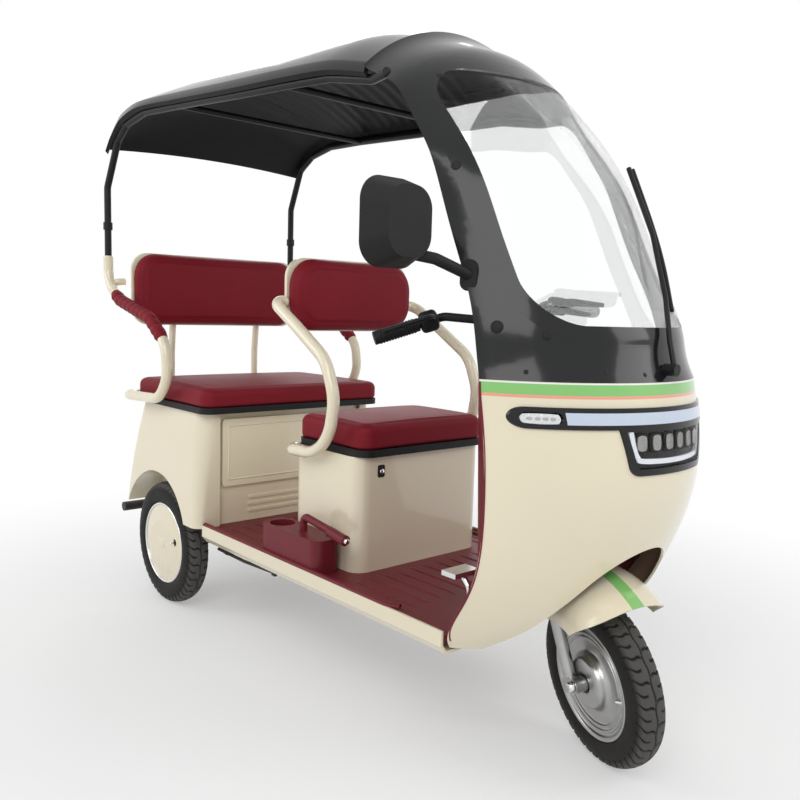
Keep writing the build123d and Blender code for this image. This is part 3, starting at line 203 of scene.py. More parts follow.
def tube_points(path: Array, radius: Array | float, sides: int = 20) -> Array:
    """Round tube carried along a path: each ring is the radius times the two square directions."""
    across, up = frames_along(path)
    turn = np.linspace(0, 2 * pi, sides, endpoint=False)
    size = np.broadcast_to(np.asarray(radius, float), (len(path),))[:, None, None]
    ring = np.cos(turn)[None, :, None] * across[:, None] + np.sin(turn)[None, :, None] * up[:, None]
    return path[:, None] + size * ring


def tube_piece(name: str, path: Array, radius: Array | float, sides: int = 20) -> Piece:
    """Makes a closed tube along a path, with flat ends."""
    return link_mesh(name, tube_points(path, radius, sides), capped_faces(len(path), sides))


def smooth_route(points: Array, count: int) -> Array:
    """Smooth curve through points, by Catmull-Rom spans, sampled evenly in its parameter."""
    ends = np.vstack([2 * points[0] - points[1], points, 2 * points[-1] - points[-2]])
    place = np.linspace(0, len(points) - 1, count)
    span = np.minimum(place.astype(int), len(points) - 2)
    t = (place - span)[:, None]
    a, b, c, d = (ends[span + shift] for shift in range(4))
    return 0.5 * (2 * b + (c - a) * t + (2 * a - 5 * b + 4 * c - d) * t**2 + (3 * b - a - 3 * c + d) * t**3)


def bent_route(points: Array, bends: Array | float, step: float = 0.002) -> Array:
    """Straight runs joined by round bends, as a tube bender makes them, sampled at even steps.

    Args:
        points: corners of the route.
        bends: radius of each bend, or one radius for all.
        step: distance between samples.

    Returns:
        Points of shape (n, 3).
    """
    parts = [points[:1]]
    radii = np.broadcast_to(np.asarray(bends, float), (len(points) - 2,))
    for before, corner, after, bend in zip(points[:-2], points[1:-1], points[2:], radii):
        back = (before - corner) / np.linalg.norm(before - corner)
        ahead = (after - corner) / np.linalg.norm(after - corner)
        half_turn = np.arccos(np.clip(back @ ahead, -1, 1)) / 2
        if half_turn > 0.4999 * pi:
            continue
        inward = (back + ahead) / np.linalg.norm(back + ahead)
        middle = corner + inward * bend / sin(half_turn)
        start = corner + back * bend / np.tan(half_turn) - middle
        stop = corner + ahead * bend / np.tan(half_turn) - middle
        swing = np.linspace(0, 1, 16)[:, None]
        arc = start * (1 - swing) + stop * swing
        parts.append(middle + bend * arc / np.linalg.norm(arc, axis=1, keepdims=True))
    line = np.concatenate([*parts, points[-1:]])
    reach = np.concatenate([[0.0], np.cumsum(np.linalg.norm(np.diff(line, axis=0), axis=1))])
    at = np.arange(0, reach[-1], step)
    return np.column_stack([np.interp(at, reach, line[:, column]) for column in range(3)])


def revolved(name: str, profile: Array, centre: Vector, axis: Vector, segments: int = 96) -> Piece:
    """Turns a profile of (along the axis, radius) about an axis through a centre."""
    along = np.array(axis.normalized())
    first = np.cross(along, (0.0, 0.0, 1.0))
    first /= np.linalg.norm(first)
    second = np.cross(along, first)
    turn = np.linspace(0, 2 * pi, segments, endpoint=False)
    ring = np.cos(turn)[:, None] * first + np.sin(turn)[:, None] * second
    points = np.array(centre) + profile[None, :, :1] * along + profile[None, :, 1:] * ring[:, None]
    return grid_piece(name, points, wrap_rows=True)


def block_points(half: Array, power: float, rows: int = 28, columns: int = 56) -> Array:
    """Small rounded block about the origin: a superellipsoid, squarer as its power nears 0."""
    lat = np.linspace(-pi / 2, pi / 2, rows)[:, None]
    lon = np.linspace(-pi, pi, columns, endpoint=False)[None, :]
    parts = (np.cos(lat) * np.cos(lon), np.cos(lat) * np.sin(lon), np.sin(lat) + 0 * lon)
    return np.stack([np.sign(part) * np.abs(part) ** power for part in parts], axis=-1) * half


def outline(half: Array, corner: float) -> tuple[Array, Array]:
    """Rounded rectangle as corner centres and outward directions.

    Args:
        half: half length and half width.
        corner: radius of its corners.

    Returns:
        Two arrays of shape (n, 2): a point of the outline is its centre plus a radius times its direction.
    """
    arc = np.linspace(0, pi / 2, 13)
    run = np.linspace(0, 1, 22)[1:-1, None]
    signs = np.array([(1, 1), (-1, 1), (-1, -1), (1, -1)], float)
    centres = signs * (np.asarray(half) - corner)
    rows, directions = [], []
    for number in range(4):
        turn = arc + number * pi / 2
        rows.append(np.repeat(centres[number][None], len(arc), axis=0))
        directions.append(np.column_stack([np.cos(turn), np.sin(turn)]))
        rows.append(centres[number] * (1 - run) + centres[(number + 1) % 4] * run)
        directions.append(np.repeat(directions[-1][-1:], len(run), axis=0))
    return np.concatenate(rows), np.concatenate(directions)


@dataclass(frozen=True)
class Pad:
    """Sizes of a cushion: its plan corner, top and bottom edge radii, crown, draw-in and crease."""

    corner: float
    top_edge: float
    low_edge: float
    crown: float
    pull: float = 0.004
    crease: float = 0.0016

    def points(self, half: Array) -> Array:
        """Crowned cushion about the origin, with its thickness along z.

        Rows go from the middle of the base out to its edge, up round both rounded edges, and in to the
        middle of the top. Each row is the outline drawn in by its edge arc. The top rises by a product of two
        parabolas, the sides draw in between the corners, and a soft crease runs just inside the top edge.

        Args:
            half: half length, half width and half thickness, crown included.

        Returns:
            Points of shape (rows, columns, 3), closed in its columns.
        """
        centre, direction = outline(half[:2], self.corner)
        arc = np.linspace(0, pi / 2, 12)[:, None]
        top = half[2] - self.crown
        spread = np.linspace(0.001, 1, 14)[:, None]
        inner = np.linspace(1, 0.001, 22)[1:, None]
        rows = [spread[:-1, :, None] * (centre + (self.corner - self.low_edge) * direction)]
        heights = [np.full((13, 1), -half[2])]
        for radius, bend, level in ((self.low_edge, arc, -half[2]), (self.top_edge, arc + pi / 2, top)):
            inset = radius * (1 - np.abs(np.sin(bend)))
            rows.append(centre + (self.corner - inset)[:, :, None] * direction)
            lift = radius * (1 - np.abs(np.cos(bend)))
            heights.append(level + lift if level < 0 else level - lift)
        rows.append(inner[:, :, None] * (centre + (self.corner - self.top_edge) * direction))
        heights.append(np.full((21, 1), top))
        plan = np.concatenate(rows)
        x, y = plan[:, :, 0], plan[:, :, 1]
        z = np.concatenate(heights) + 0 * x
        share_x, share_y = np.clip(x / half[0], -1, 1), np.clip(y / half[1], -1, 1)
        dome = (1 - share_x**2) * (1 - share_y**2)
        upper = (z > top - 1e-6) * 1.0
        near = np.concatenate([np.zeros((37, 1)), inner])
        groove = self.crease * np.exp(-((near - 0.93) / 0.025) ** 2)
        drawn_x = x - self.pull * share_x * (1 - share_y**2)
        drawn_y = y - self.pull * share_y * (1 - share_x**2)
        return np.stack([drawn_x, drawn_y, z + upper * (self.crown * dome**0.7 - groove)], axis=-1)


# Finishes


class NodeSheet:
    """Adds and joins nodes in one node tree."""

    def __init__(self, tree: bpy.types.NodeTree) -> None:
        """Keeps the tree that nodes are added to."""
        self.tree = tree

    def add(self, kind: str, inputs: dict | None = None, **settings: object) -> bpy.types.Node:
        """Adds a node.

        Args:
            kind: Blender's name of the node's type.
            inputs: values or output sockets for its inputs, by name or number.
            settings: attributes of the node.

        Returns:
            The new node.
        """
        node = self.tree.nodes.new(kind)
        for key, value in settings.items():
            setattr(node, key, value)
        for key, value in (inputs or {}).items():
            if isinstance(value, bpy.types.NodeSocket):
                self.tree.links.new(value, node.inputs[key])
            else:
                node.inputs[key].default_value = value
        return node

    def math(self, operation: str, first: object, second: object = 0.0) -> Socket:
        """Result of an operation on two numbers or sockets."""
        return self.add("ShaderNodeMath", {0: first, 1: second}, operation=operation).outputs[0]

    def blend(self, share: object, first: object, second: object, kind: str = "MIX") -> Socket:
        """Colour between two colours or sockets, by a share and a kind of blend."""
        node = self.add("ShaderNodeMix", {0: share, 6: first, 7: second}, data_type="RGBA", blend_type=kind)
        return node.outputs[2]


class Effects:
    """Shader node groups that several finishes share."""

    def __init__(self) -> None:
        """Builds each group once."""
        self.tone = self.tone_drift()
        self.grain = self.fine_grain()
        self.dust = self.low_dust()

    @staticmethod
    def group(
        name: str, inputs: dict[str, float], output: str
    ) -> tuple[bpy.types.NodeTree, NodeSheet]:
        """Makes an empty group whose sockets are plain numbers.

        Args:
            name: name of the group.
            inputs: default value of each input.
            output: name of its output.

        Returns:
            The group and a sheet to add nodes to it.
        """
        tree = bpy.data.node_groups.new(name, "ShaderNodeTree")
        for key, value in inputs.items():
            socket = tree.interface.new_socket(key, in_out="INPUT", socket_type="NodeSocketFloat")
            socket.default_value = value
        tree.interface.new_socket(output, in_out="OUTPUT", socket_type="NodeSocketFloat")
        return tree, NodeSheet(tree)

    def tone_drift(self) -> bpy.types.NodeTree:
        """Slow light and dark drift over a surface, from noise on object coordinates."""
        tree, sheet = self.group("tone_drift", {"Scale": 6.0, "Amount": 0.06}, "Factor")
        ends = sheet.add("NodeGroupInput"), sheet.add("NodeGroupOutput")
        place = sheet.add("ShaderNodeTexCoord")
        noise = sheet.add("ShaderNodeTexNoise", {
            "Vector": place.outputs["Object"], "Scale": ends[0].outputs["Scale"],
            "Detail": 4.0, "Roughness": 0.6})
        centred = sheet.math("SUBTRACT", noise.outputs["Fac"], 0.5)
        scaled = sheet.math("MULTIPLY", centred, ends[0].outputs["Amount"])
        tree.links.new(sheet.math("ADD", scaled, 1.0), ends[1].inputs["Factor"])
        return tree

    def fine_grain(self) -> bpy.types.NodeTree:
        """Pebbled height: cells from a Voronoi texture softened by noise."""
        tree, sheet = self.group("fine_grain", {"Scale": 400.0, "Softness": 0.4}, "Height")
        ends = sheet.add("NodeGroupInput"), sheet.add("NodeGroupOutput")
        place = sheet.add("ShaderNodeTexCoord")
        spot = {"Vector": place.outputs["Object"], "Scale": ends[0].outputs["Scale"]}
        cells = sheet.add("ShaderNodeTexVoronoi", spot, feature="SMOOTH_F1")
        noise = sheet.add("ShaderNodeTexNoise", {**spot, "Detail": 3.0})
        mixed = sheet.add("ShaderNodeMix", {
            0: ends[0].outputs["Softness"], 2: cells.outputs["Distance"], 3: noise.outputs["Fac"]},
            data_type="FLOAT")
        tree.links.new(mixed.outputs[0], ends[1].inputs["Height"])
        return tree

    def low_dust(self) -> bpy.types.NodeTree:
        """Mask of road dust: strong near the ground, broken up by noise, gone above a height."""
        tree, sheet = self.group("low_dust", {"Height": 0.5, "Amount": 0.2}, "Mask")
        ends = sheet.add("NodeGroupInput"), sheet.add("NodeGroupOutput")
        place = sheet.add("ShaderNodeTexCoord")
        parts = sheet.add("ShaderNodeSeparateXYZ", {0: place.outputs["Object"]})
        fall = sheet.add("ShaderNodeMapRange", {
            "Value": parts.outputs["Z"], "From Min": 0.0, "From Max": ends[0].outputs["Height"],
            "To Min": 1.0, "To Max": 0.0})
        noise = sheet.add("ShaderNodeTexNoise", {
            "Vector": place.outputs["Object"], "Scale": 22.0, "Detail": 6.0})
        broken = sheet.math("MULTIPLY", fall.outputs[0], noise.outputs["Fac"])
        tree.links.new(sheet.math("MULTIPLY", broken, ends[0].outputs["Amount"]), ends[1].inputs["Mask"])
        return tree


@dataclass(frozen=True)
class Stripes:
    """Bands of colour by distance along a direction.

    Each band is its lower and upper distance, in metres, and its colour.
    """

    direction: tuple[float, float, float]
    origin: float
    bands: tuple[tuple[float, float, Colour], ...]
    both_sides: bool = False


@dataclass(frozen=True)
class Finish:
    """One surface finish and how far it varies."""

    name: str
    colour: Colour
    roughness: float
    metallic: float = 0.0
    coat: float = 0.0
    specular: float = 0.5
    tone_scale: float = 6.0
    tone: float = 0.06
    grain_scale: float = 400.0
    grain: float = 0.0
    grain_softness: float = 0.4
    dust: float = 0.0
    transmission: float = 0.0
    ior: float = 1.45
    alpha: float = 1.0
    glow: float = 0.0
    stripes: Stripes | None = None
    worn: tuple[str, Colour] | None = None

    def striped_colour(self, sheet: NodeSheet) -> Socket:
        """Colour that changes in bands along the stripes' direction.

        Args:
            sheet: node sheet of the material.

        Returns:
            Output socket of the colour.
        """
        bands = self.stripes
        place = sheet.add("ShaderNodeTexCoord")
        along = sheet.add("ShaderNodeVectorMath", {0: place.outputs["Object"], 1: bands.direction},
                          operation="DOT_PRODUCT")
        reach = sheet.math("SUBTRACT", along.outputs["Value"], bands.origin)
        if bands.both_sides:
            reach = sheet.math("ABSOLUTE", reach)
        low = min(band[0] for band in bands.bands) - 0.01
        high = max(band[1] for band in bands.bands) + 0.01
        share = sheet.add("ShaderNodeMapRange", {"Value": reach, "From Min": low, "From Max": high})
        ramp = sheet.add("ShaderNodeValToRGB", {0: share.outputs[0]})
        ramp.color_ramp.interpolation = "CONSTANT"
        stops = [(0.0, self.colour)]
        for band_low, band_high, colour in bands.bands:
            stops.append(((band_low - low) / (high - low), colour))
            stops.append(((band_high - low) / (high - low), self.colour))
        ramp.color_ramp.elements[0].color = (*self.colour, 1.0)
        ramp.color_ramp.elements.remove(ramp.color_ramp.elements[1])
        for position, colour in stops[1:]:
            ramp.color_ramp.elements.new(position).color = (*colour, 1.0)
        return ramp.outputs["Color"]

    def vary(self, sheet: NodeSheet, shader: bpy.types.Node, effects: Effects) -> None:
        """Drives colour and roughness from the stripes, the tone drift and the dust.

        Args:
            sheet: node sheet of the material.
            shader: the material's shader.
            effects: shared node groups.
        """
        tone = sheet.add("ShaderNodeGroup", node_tree=effects.tone)
        tone.inputs["Scale"].default_value = self.tone_scale
        tone.inputs["Amount"].default_value = self.tone
        colour = self.striped_colour(sheet) if self.stripes else (*self.colour, 1.0)
        if self.worn:
            mask = sheet.add("ShaderNodeAttribute", attribute_name=self.worn[0])
            colour = sheet.blend(mask.outputs["Fac"], colour, (*self.worn[1], 1.0))
        base = sheet.blend(1.0, colour, tone.outputs["Factor"], "MULTIPLY")
        rough = sheet.math("MULTIPLY", tone.outputs["Factor"], self.roughness)
        if self.dust:
            dust = sheet.add("ShaderNodeGroup", node_tree=effects.dust)
            dust.inputs["Amount"].default_value = self.dust
            base = sheet.blend(dust.outputs["Mask"], base, (*DUST, 1.0))
            rough = sheet.math("ADD", dust.outputs["Mask"], rough)
        sheet.tree.links.new(base, shader.inputs["Base Color"])
        sheet.tree.links.new(rough, shader.inputs["Roughness"])

    def material(self, effects: Effects) -> bpy.types.Material:
        """Builds the material.

        Args:
            effects: shared node groups.

        Returns:
            The new material.
        """
        made = bpy.data.materials.new(self.name)
        made.use_nodes = True
        made.node_tree.nodes.clear()
        sheet = NodeSheet(made.node_tree)
        shader = sheet.add("ShaderNodeBsdfPrincipled", {
            "Metallic": self.metallic, "IOR": self.ior, "Coat Weight": self.coat, "Coat Roughness": 0.04,
            "Transmission Weight": self.transmission, "Alpha": self.alpha,
            "Specular IOR Level": self.specular, "Base Color": (*self.colour, 1.0),
            "Roughness": self.roughness})
        sheet.add("ShaderNodeOutputMaterial", {"Surface": shader.outputs[0]})
        if self.tone:
            self.vary(sheet, shader, effects)
        if self.grain:
            grain = sheet.add("ShaderNodeGroup", node_tree=effects.grain)
            grain.inputs["Scale"].default_value = self.grain_scale
            grain.inputs["Softness"].default_value = self.grain_softness
            bump = sheet.add("ShaderNodeBump", {"Height": grain.outputs["Height"], "Strength": self.grain,
                                                "Distance": 0.001})
            made.node_tree.links.new(bump.outputs[0], shader.inputs["Normal"])
        if self.glow:
            shader.inputs["Emission Strength"].default_value = self.glow
            shader.inputs["Emission Color"].default_value = (*self.colour, 1.0)
        return made


class Paintbox:
    """Every finish of the vehicle, built on first use."""

    def __init__(self, fender_axis: Vector, fender_hub: Vector) -> None:
        """Lists the finishes.

        Args:
            fender_axis: direction of the front axle as parked.
            fender_hub: middle of the front wheel.
        """
        self.effects = Effects()
        waist = Stripes((0, 0, 1), 0.0, (
            (0.8672, 0.8735, SALMON), (0.8735, 0.896, GREEN), (0.896, 0.899, WHITE)))
        centre_line = Stripes(tuple(fender_axis), fender_axis.dot(fender_hub), (
            (-1.0, 0.0135, GREEN),), True)
        paint = {"roughness": 0.2, "coat": 0.6, "tone": 0.05, "grain": 0.05, "grain_scale": 160.0,
                 "grain_softness": 0.9}
        kinds = (
            Finish("cream_gloss", CREAM, dust=0.16, **paint),
            Finish("cream_waist", CREAM, dust=0.16, stripes=waist, **paint),
            Finish("cream_fender", CREAM, dust=0.3, stripes=centre_line, **paint),
            Finish("black_gloss", BLACK, 0.13, specular=0.3, coat=0.12, tone=0.4, tone_scale=14.0, grain=0.02,
                   grain_scale=180.0, grain_softness=0.9),
            Finish("roof_lining", (0.008, 0.008, 0.009), 0.5, tone=0.3, grain=0.25, grain_scale=900.0,
                   specular=0.25),
            Finish("black_satin", (0.012, 0.012, 0.013), 0.38, specular=0.25, tone=0.3, grain=0.1,
                   grain_scale=700.0, dust=0.3),
            Finish("black_mould", (0.014, 0.014, 0.015), 0.5, specular=0.22, tone=0.2, grain=0.4,
                   grain_scale=1400.0),
            Finish("maroon_leather", MAROON, 0.5, specular=0.13, tone=0.2, tone_scale=9.0, grain=0.35,
                   grain_scale=620.0, grain_softness=0.3),
            Finish("maroon_mould", FLOOR_MAROON, 0.42, specular=0.3, tone=0.25, grain=0.2, grain_scale=1000.0,
                   dust=0.08),
            Finish("tyre_rubber", (0.0075, 0.0075, 0.0072), 0.6, specular=0.22, tone=0.5, tone_scale=30.0,
                   grain=0.3, grain_scale=1200.0, dust=0.06, worn=("worn_tread", (0.075, 0.073, 0.069))),
            Finish("alloy", SILVER, 0.3, metallic=1.0, tone=0.35, tone_scale=40.0, grain=0.08,
                   grain_scale=900.0),
            Finish("bright_steel", (0.75, 0.75, 0.75), 0.14, metallic=1.0, tone=0.2, tone_scale=60.0),
            Finish("screen_glass", (0.95, 0.98, 0.97), 0.01, transmission=1.0, ior=1.1, tone=0.0, alpha=0.3),
            Finish("lens_clear", (0.96, 0.97, 0.98), 0.03, transmission=1.0, ior=1.2, tone=0.0, alpha=0.4),
            Finish("light_guide", (0.56, 0.63, 0.75), 0.22, coat=0.5, tone=0.08, tone_scale=60.0, glow=0.03),
            Finish("strip_white", (0.78, 0.81, 0.85), 0.25, coat=0.4, tone=0.05, glow=0.06),
            Finish("projector", (0.30, 0.30, 0.29), 0.1, metallic=0.9, coat=0.6, tone=0.4, tone_scale=70.0),
            Finish("reflector", (0.72, 0.73, 0.74), 0.22, metallic=0.8, coat=0.5, tone=0.3, tone_scale=120.0),
            Finish("mirror_face", (0.9, 0.91, 0.92), 0.02, metallic=1.0, tone=0.02),
            Finish("red_lens", (0.42, 0.01, 0.012), 0.14, coat=0.8, tone=0.2, tone_scale=40.0),
            Finish("amber", (0.85, 0.28, 0.03), 0.3, coat=0.3, tone=0.1, tone_scale=50.0),
            Finish("battery_case", (0.05, 0.05, 0.055), 0.5, tone=0.2, grain=0.2, grain_scale=800.0),
        )
        self.kinds = {kind.name: kind for kind in kinds}
        self.made: dict[str, bpy.types.Material] = {}

    def get(self, name: str) -> bpy.types.Material:
        """Material of a finish, by name."""
        if name not in self.made:
            self.made[name] = self.kinds[name].material(self.effects)
        return self.made[name]

    def dress(self, obj: Piece, name: str) -> Piece:
        """Gives a piece one finish all over."""
        obj.data.materials.clear()
        obj.data.materials.append(self.get(name))
        return obj


# Photograph's camera


@dataclass(frozen=True)
class PhotoCamera:
    """Camera fitted to the photograph, in metres and radians."""

    place: tuple[float, float, float] = (2.6088, -1.5917, 1.0358)
    azimuth: float = 0.846
    pitch: float = 0.118
    roll: float = 0.030
    frame_px: float = 800.0
    focal_px: float = 822.35
    centre_px: tuple[float, float] = (398.1, 407.3)
    sensor_mm: float = 36.0

    def axes(self) -> tuple[Vector, Vector, Vector]:
        """Right, up and back directions of the camera."""
        level = Vector((sin(self.azimuth), -cos(self.azimuth), 0.0))
        back = level * cos(self.pitch) + Vector((0.0, 0.0, sin(self.pitch)))
        right = Vector((cos(self.azimuth), sin(self.azimuth), 0.0))
        up = back.cross(right)
        turn = cos(self.roll), sin(self.roll)
        return turn[0] * right + turn[1] * up, turn[0] * up - turn[1] * right, back

    def build(self) -> Piece:
        """Makes the scene's camera."""
        data = bpy.data.cameras.new("photo_camera")
        data.sensor_width = self.sensor_mm
        data.lens = self.focal_px / self.frame_px * self.sensor_mm
        data.shift_x = (self.frame_px / 2 - self.centre_px[0]) / self.frame_px
        data.shift_y = (self.centre_px[1] - self.frame_px / 2) / self.frame_px
        data.clip_start = 0.05
        data.clip_end = 100.0
        obj = bpy.data.objects.new("photo_camera", data)
        right, up, back = self.axes()
        turn = Matrix((right, up, back)).transposed().to_4x4()
        obj.matrix_world = Matrix.Translation(self.place) @ turn
        bpy.context.scene.collection.objects.link(obj)
        bpy.context.scene.camera = obj
        return obj

    def hit(self, pixel: tuple[float, float], trees: list[BVHTree]) -> tuple[Vector, Vector] | None:
        """Nearest point and outward normal where a pixel's line of sight meets some pieces.

        Args:
            pixel: place in the photograph.
            trees: search trees of the pieces.

        Returns:
            The point and the normal there, or None where nothing is met.
        """
        right, up, back = self.axes()
        across, down = pixel[0] - self.centre_px[0], pixel[1] - self.centre_px[1]
        aim = right * across - up * down - back * self.focal_px
        met = [tree.ray_cast(Vector(self.place), aim.normalized()) for tree in trees]
        met = [found for found in met if found[0] is not None]
        if not met:
            return None
        point, normal, _, _ = min(met, key=lambda found: found[3])
        return point, normal if normal.dot(aim) < 0 else -normal


@dataclass
class Studio:
    """Pale floor, white surround and soft lamps."""

    floor_half: float = 30.0
    middle: tuple[float, float, float] = (0.7, 0.0, 0.0)
    aim_height: float = 0.9
    fade_near: float = 0.9
    fade_far: float = 2.6
    fade_share: float = 0.35
    floor_colour: Colour = (0.93, 0.93, 0.92)
    lamps: tuple[tuple[tuple[float, float, float], float, float], ...] = (
        ((3.4, -3.2, 3.6), 2.6, 78.0),
        ((4.6, 2.2, 3.0), 2.2, 48.0),
        ((-1.8, -3.6, 2.6), 2.4, 45.0),
        ((-3.0, 2.6, 3.2), 2.4, 38.0),
    )

    def build(self) -> None:
        """Makes the floor, the world and the lamps."""
        corners = np.array([(-1, -1, 0), (1, -1, 0), (1, 1, 0), (-1, 1, 0)], float) * self.floor_half
        floor = link_mesh("studio_floor", corners, [(0, 1, 2, 3)], False)
        floor.data.materials.append(self.floor_material())
        self.world()
        target = Vector(self.middle) + Vector((0.0, 0.0, self.aim_height))
        for number, (place, size, power) in enumerate(self.lamps):
            data = bpy.data.lights.new(f"softbox_{number}", "AREA")
            data.size = size
            data.energy = power
            lamp = bpy.data.objects.new(f"softbox_{number}", data)
            lamp.location = place
            lamp.rotation_euler = (target - Vector(place)).to_track_quat("-Z", "Y").to_euler()
            bpy.context.scene.collection.objects.link(lamp)

    def seen(self, sheet: NodeSheet) -> Socket:
        """One where a ray comes from the camera, or from it by way of gloss or glass, and 0 elsewhere."""
        path = sheet.add("ShaderNodeLightPath")
        direct = sheet.math("MAXIMUM", path.outputs["Is Camera Ray"], path.outputs["Is Transmission Ray"])
        return sheet.math("MAXIMUM", direct, path.outputs["Is Glossy Ray"])

    def floor_material(self) -> bpy.types.Material:
        """Matt pale floor that keeps the shadow near the object and turns white with distance."""
        made = bpy.data.materials.new("studio_floor")
        made.use_nodes = True
        made.node_tree.nodes.clear()
        sheet = NodeSheet(made.node_tree)
        place = sheet.add("ShaderNodeTexCoord")
        noise = sheet.add("ShaderNodeTexNoise", {"Vector": place.outputs["Object"], "Scale": 3.0})
        tint = sheet.blend(noise.outputs["Fac"], (*self.floor_colour, 1.0), (0.95, 0.95, 0.945, 1.0))
        matt = sheet.add("ShaderNodeBsdfDiffuse", {"Color": tint})
        reach = sheet.add("ShaderNodeVectorMath", {0: place.outputs["Object"], 1: self.middle},
                          operation="DISTANCE")
        fade = sheet.add("ShaderNodeMapRange", {
            "Value": reach.outputs["Value"], "From Min": self.fade_near, "From Max": self.fade_far,
            "To Min": self.fade_share, "To Max": 1.0},
            interpolation_type="SMOOTHSTEP")
        share = sheet.math("MULTIPLY", fade.outputs[0], self.seen(sheet))
        white = sheet.add("ShaderNodeEmission", {"Color": (1.0, 1.0, 1.0, 1.0), "Strength": 1.0})
        mixed = sheet.add("ShaderNodeMixShader", {0: share, 1: matt.outputs[0], 2: white.outputs[0]})
        sheet.add("ShaderNodeOutputMaterial", {"Surface": mixed.outputs[0]})
        return made

    def world(self) -> None:
        """White surround: full white where it is seen, softer as light."""
        made = bpy.data.worlds.new("white_surround")
        made.use_nodes = True
        made.node_tree.nodes.clear()
        sheet = NodeSheet(made.node_tree)
        light = sheet.add("ShaderNodeBackground", {"Color": (0.96, 0.98, 1.0, 1.0), "Strength": 0.5})
        shown = sheet.add("ShaderNodeBackground", {"Color": (1.0, 1.0, 1.0, 1.0), "Strength": 1.0})
        seen = self.seen(sheet)
        mixed = sheet.add("ShaderNodeMixShader", {0: seen, 1: light.outputs[0], 2: shown.outputs[0]})
        sheet.add("ShaderNodeOutputWorld", {"Surface": mixed.outputs[0]})
        bpy.context.scene.world = made


# Sub-assemblies


@dataclass
class Part:
    """What every sub-assembly works with."""

    frame: dict
    paints: Paintbox
    camera: PhotoCamera

    def node(self, name: str) -> Piece:
        """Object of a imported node."""
        return self.frame["nodes"][name]

    def coat(self, finishes: dict[str, str]) -> None:
        """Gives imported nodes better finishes, by name."""
        for name, finish in finishes.items():
            for slot in self.node(name).material_slots:
                slot.material = self.paints.get(finish)
            log.info("%s in %s", name, finish)

    def add(self, obj: Piece, body: str, finish: str, slot: Slot) -> Piece:
        """Dresses a new piece, and makes it ride on a body.

        Args:
            obj: the piece.
            body: body that carries it.
            finish: name of its finish.
            slot: record slot; not used.

        Returns:
            The piece.
        """
        self.paints.dress(obj, finish)
        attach(obj, body)
        log.info("%s on %s", obj.name, body)
        return obj


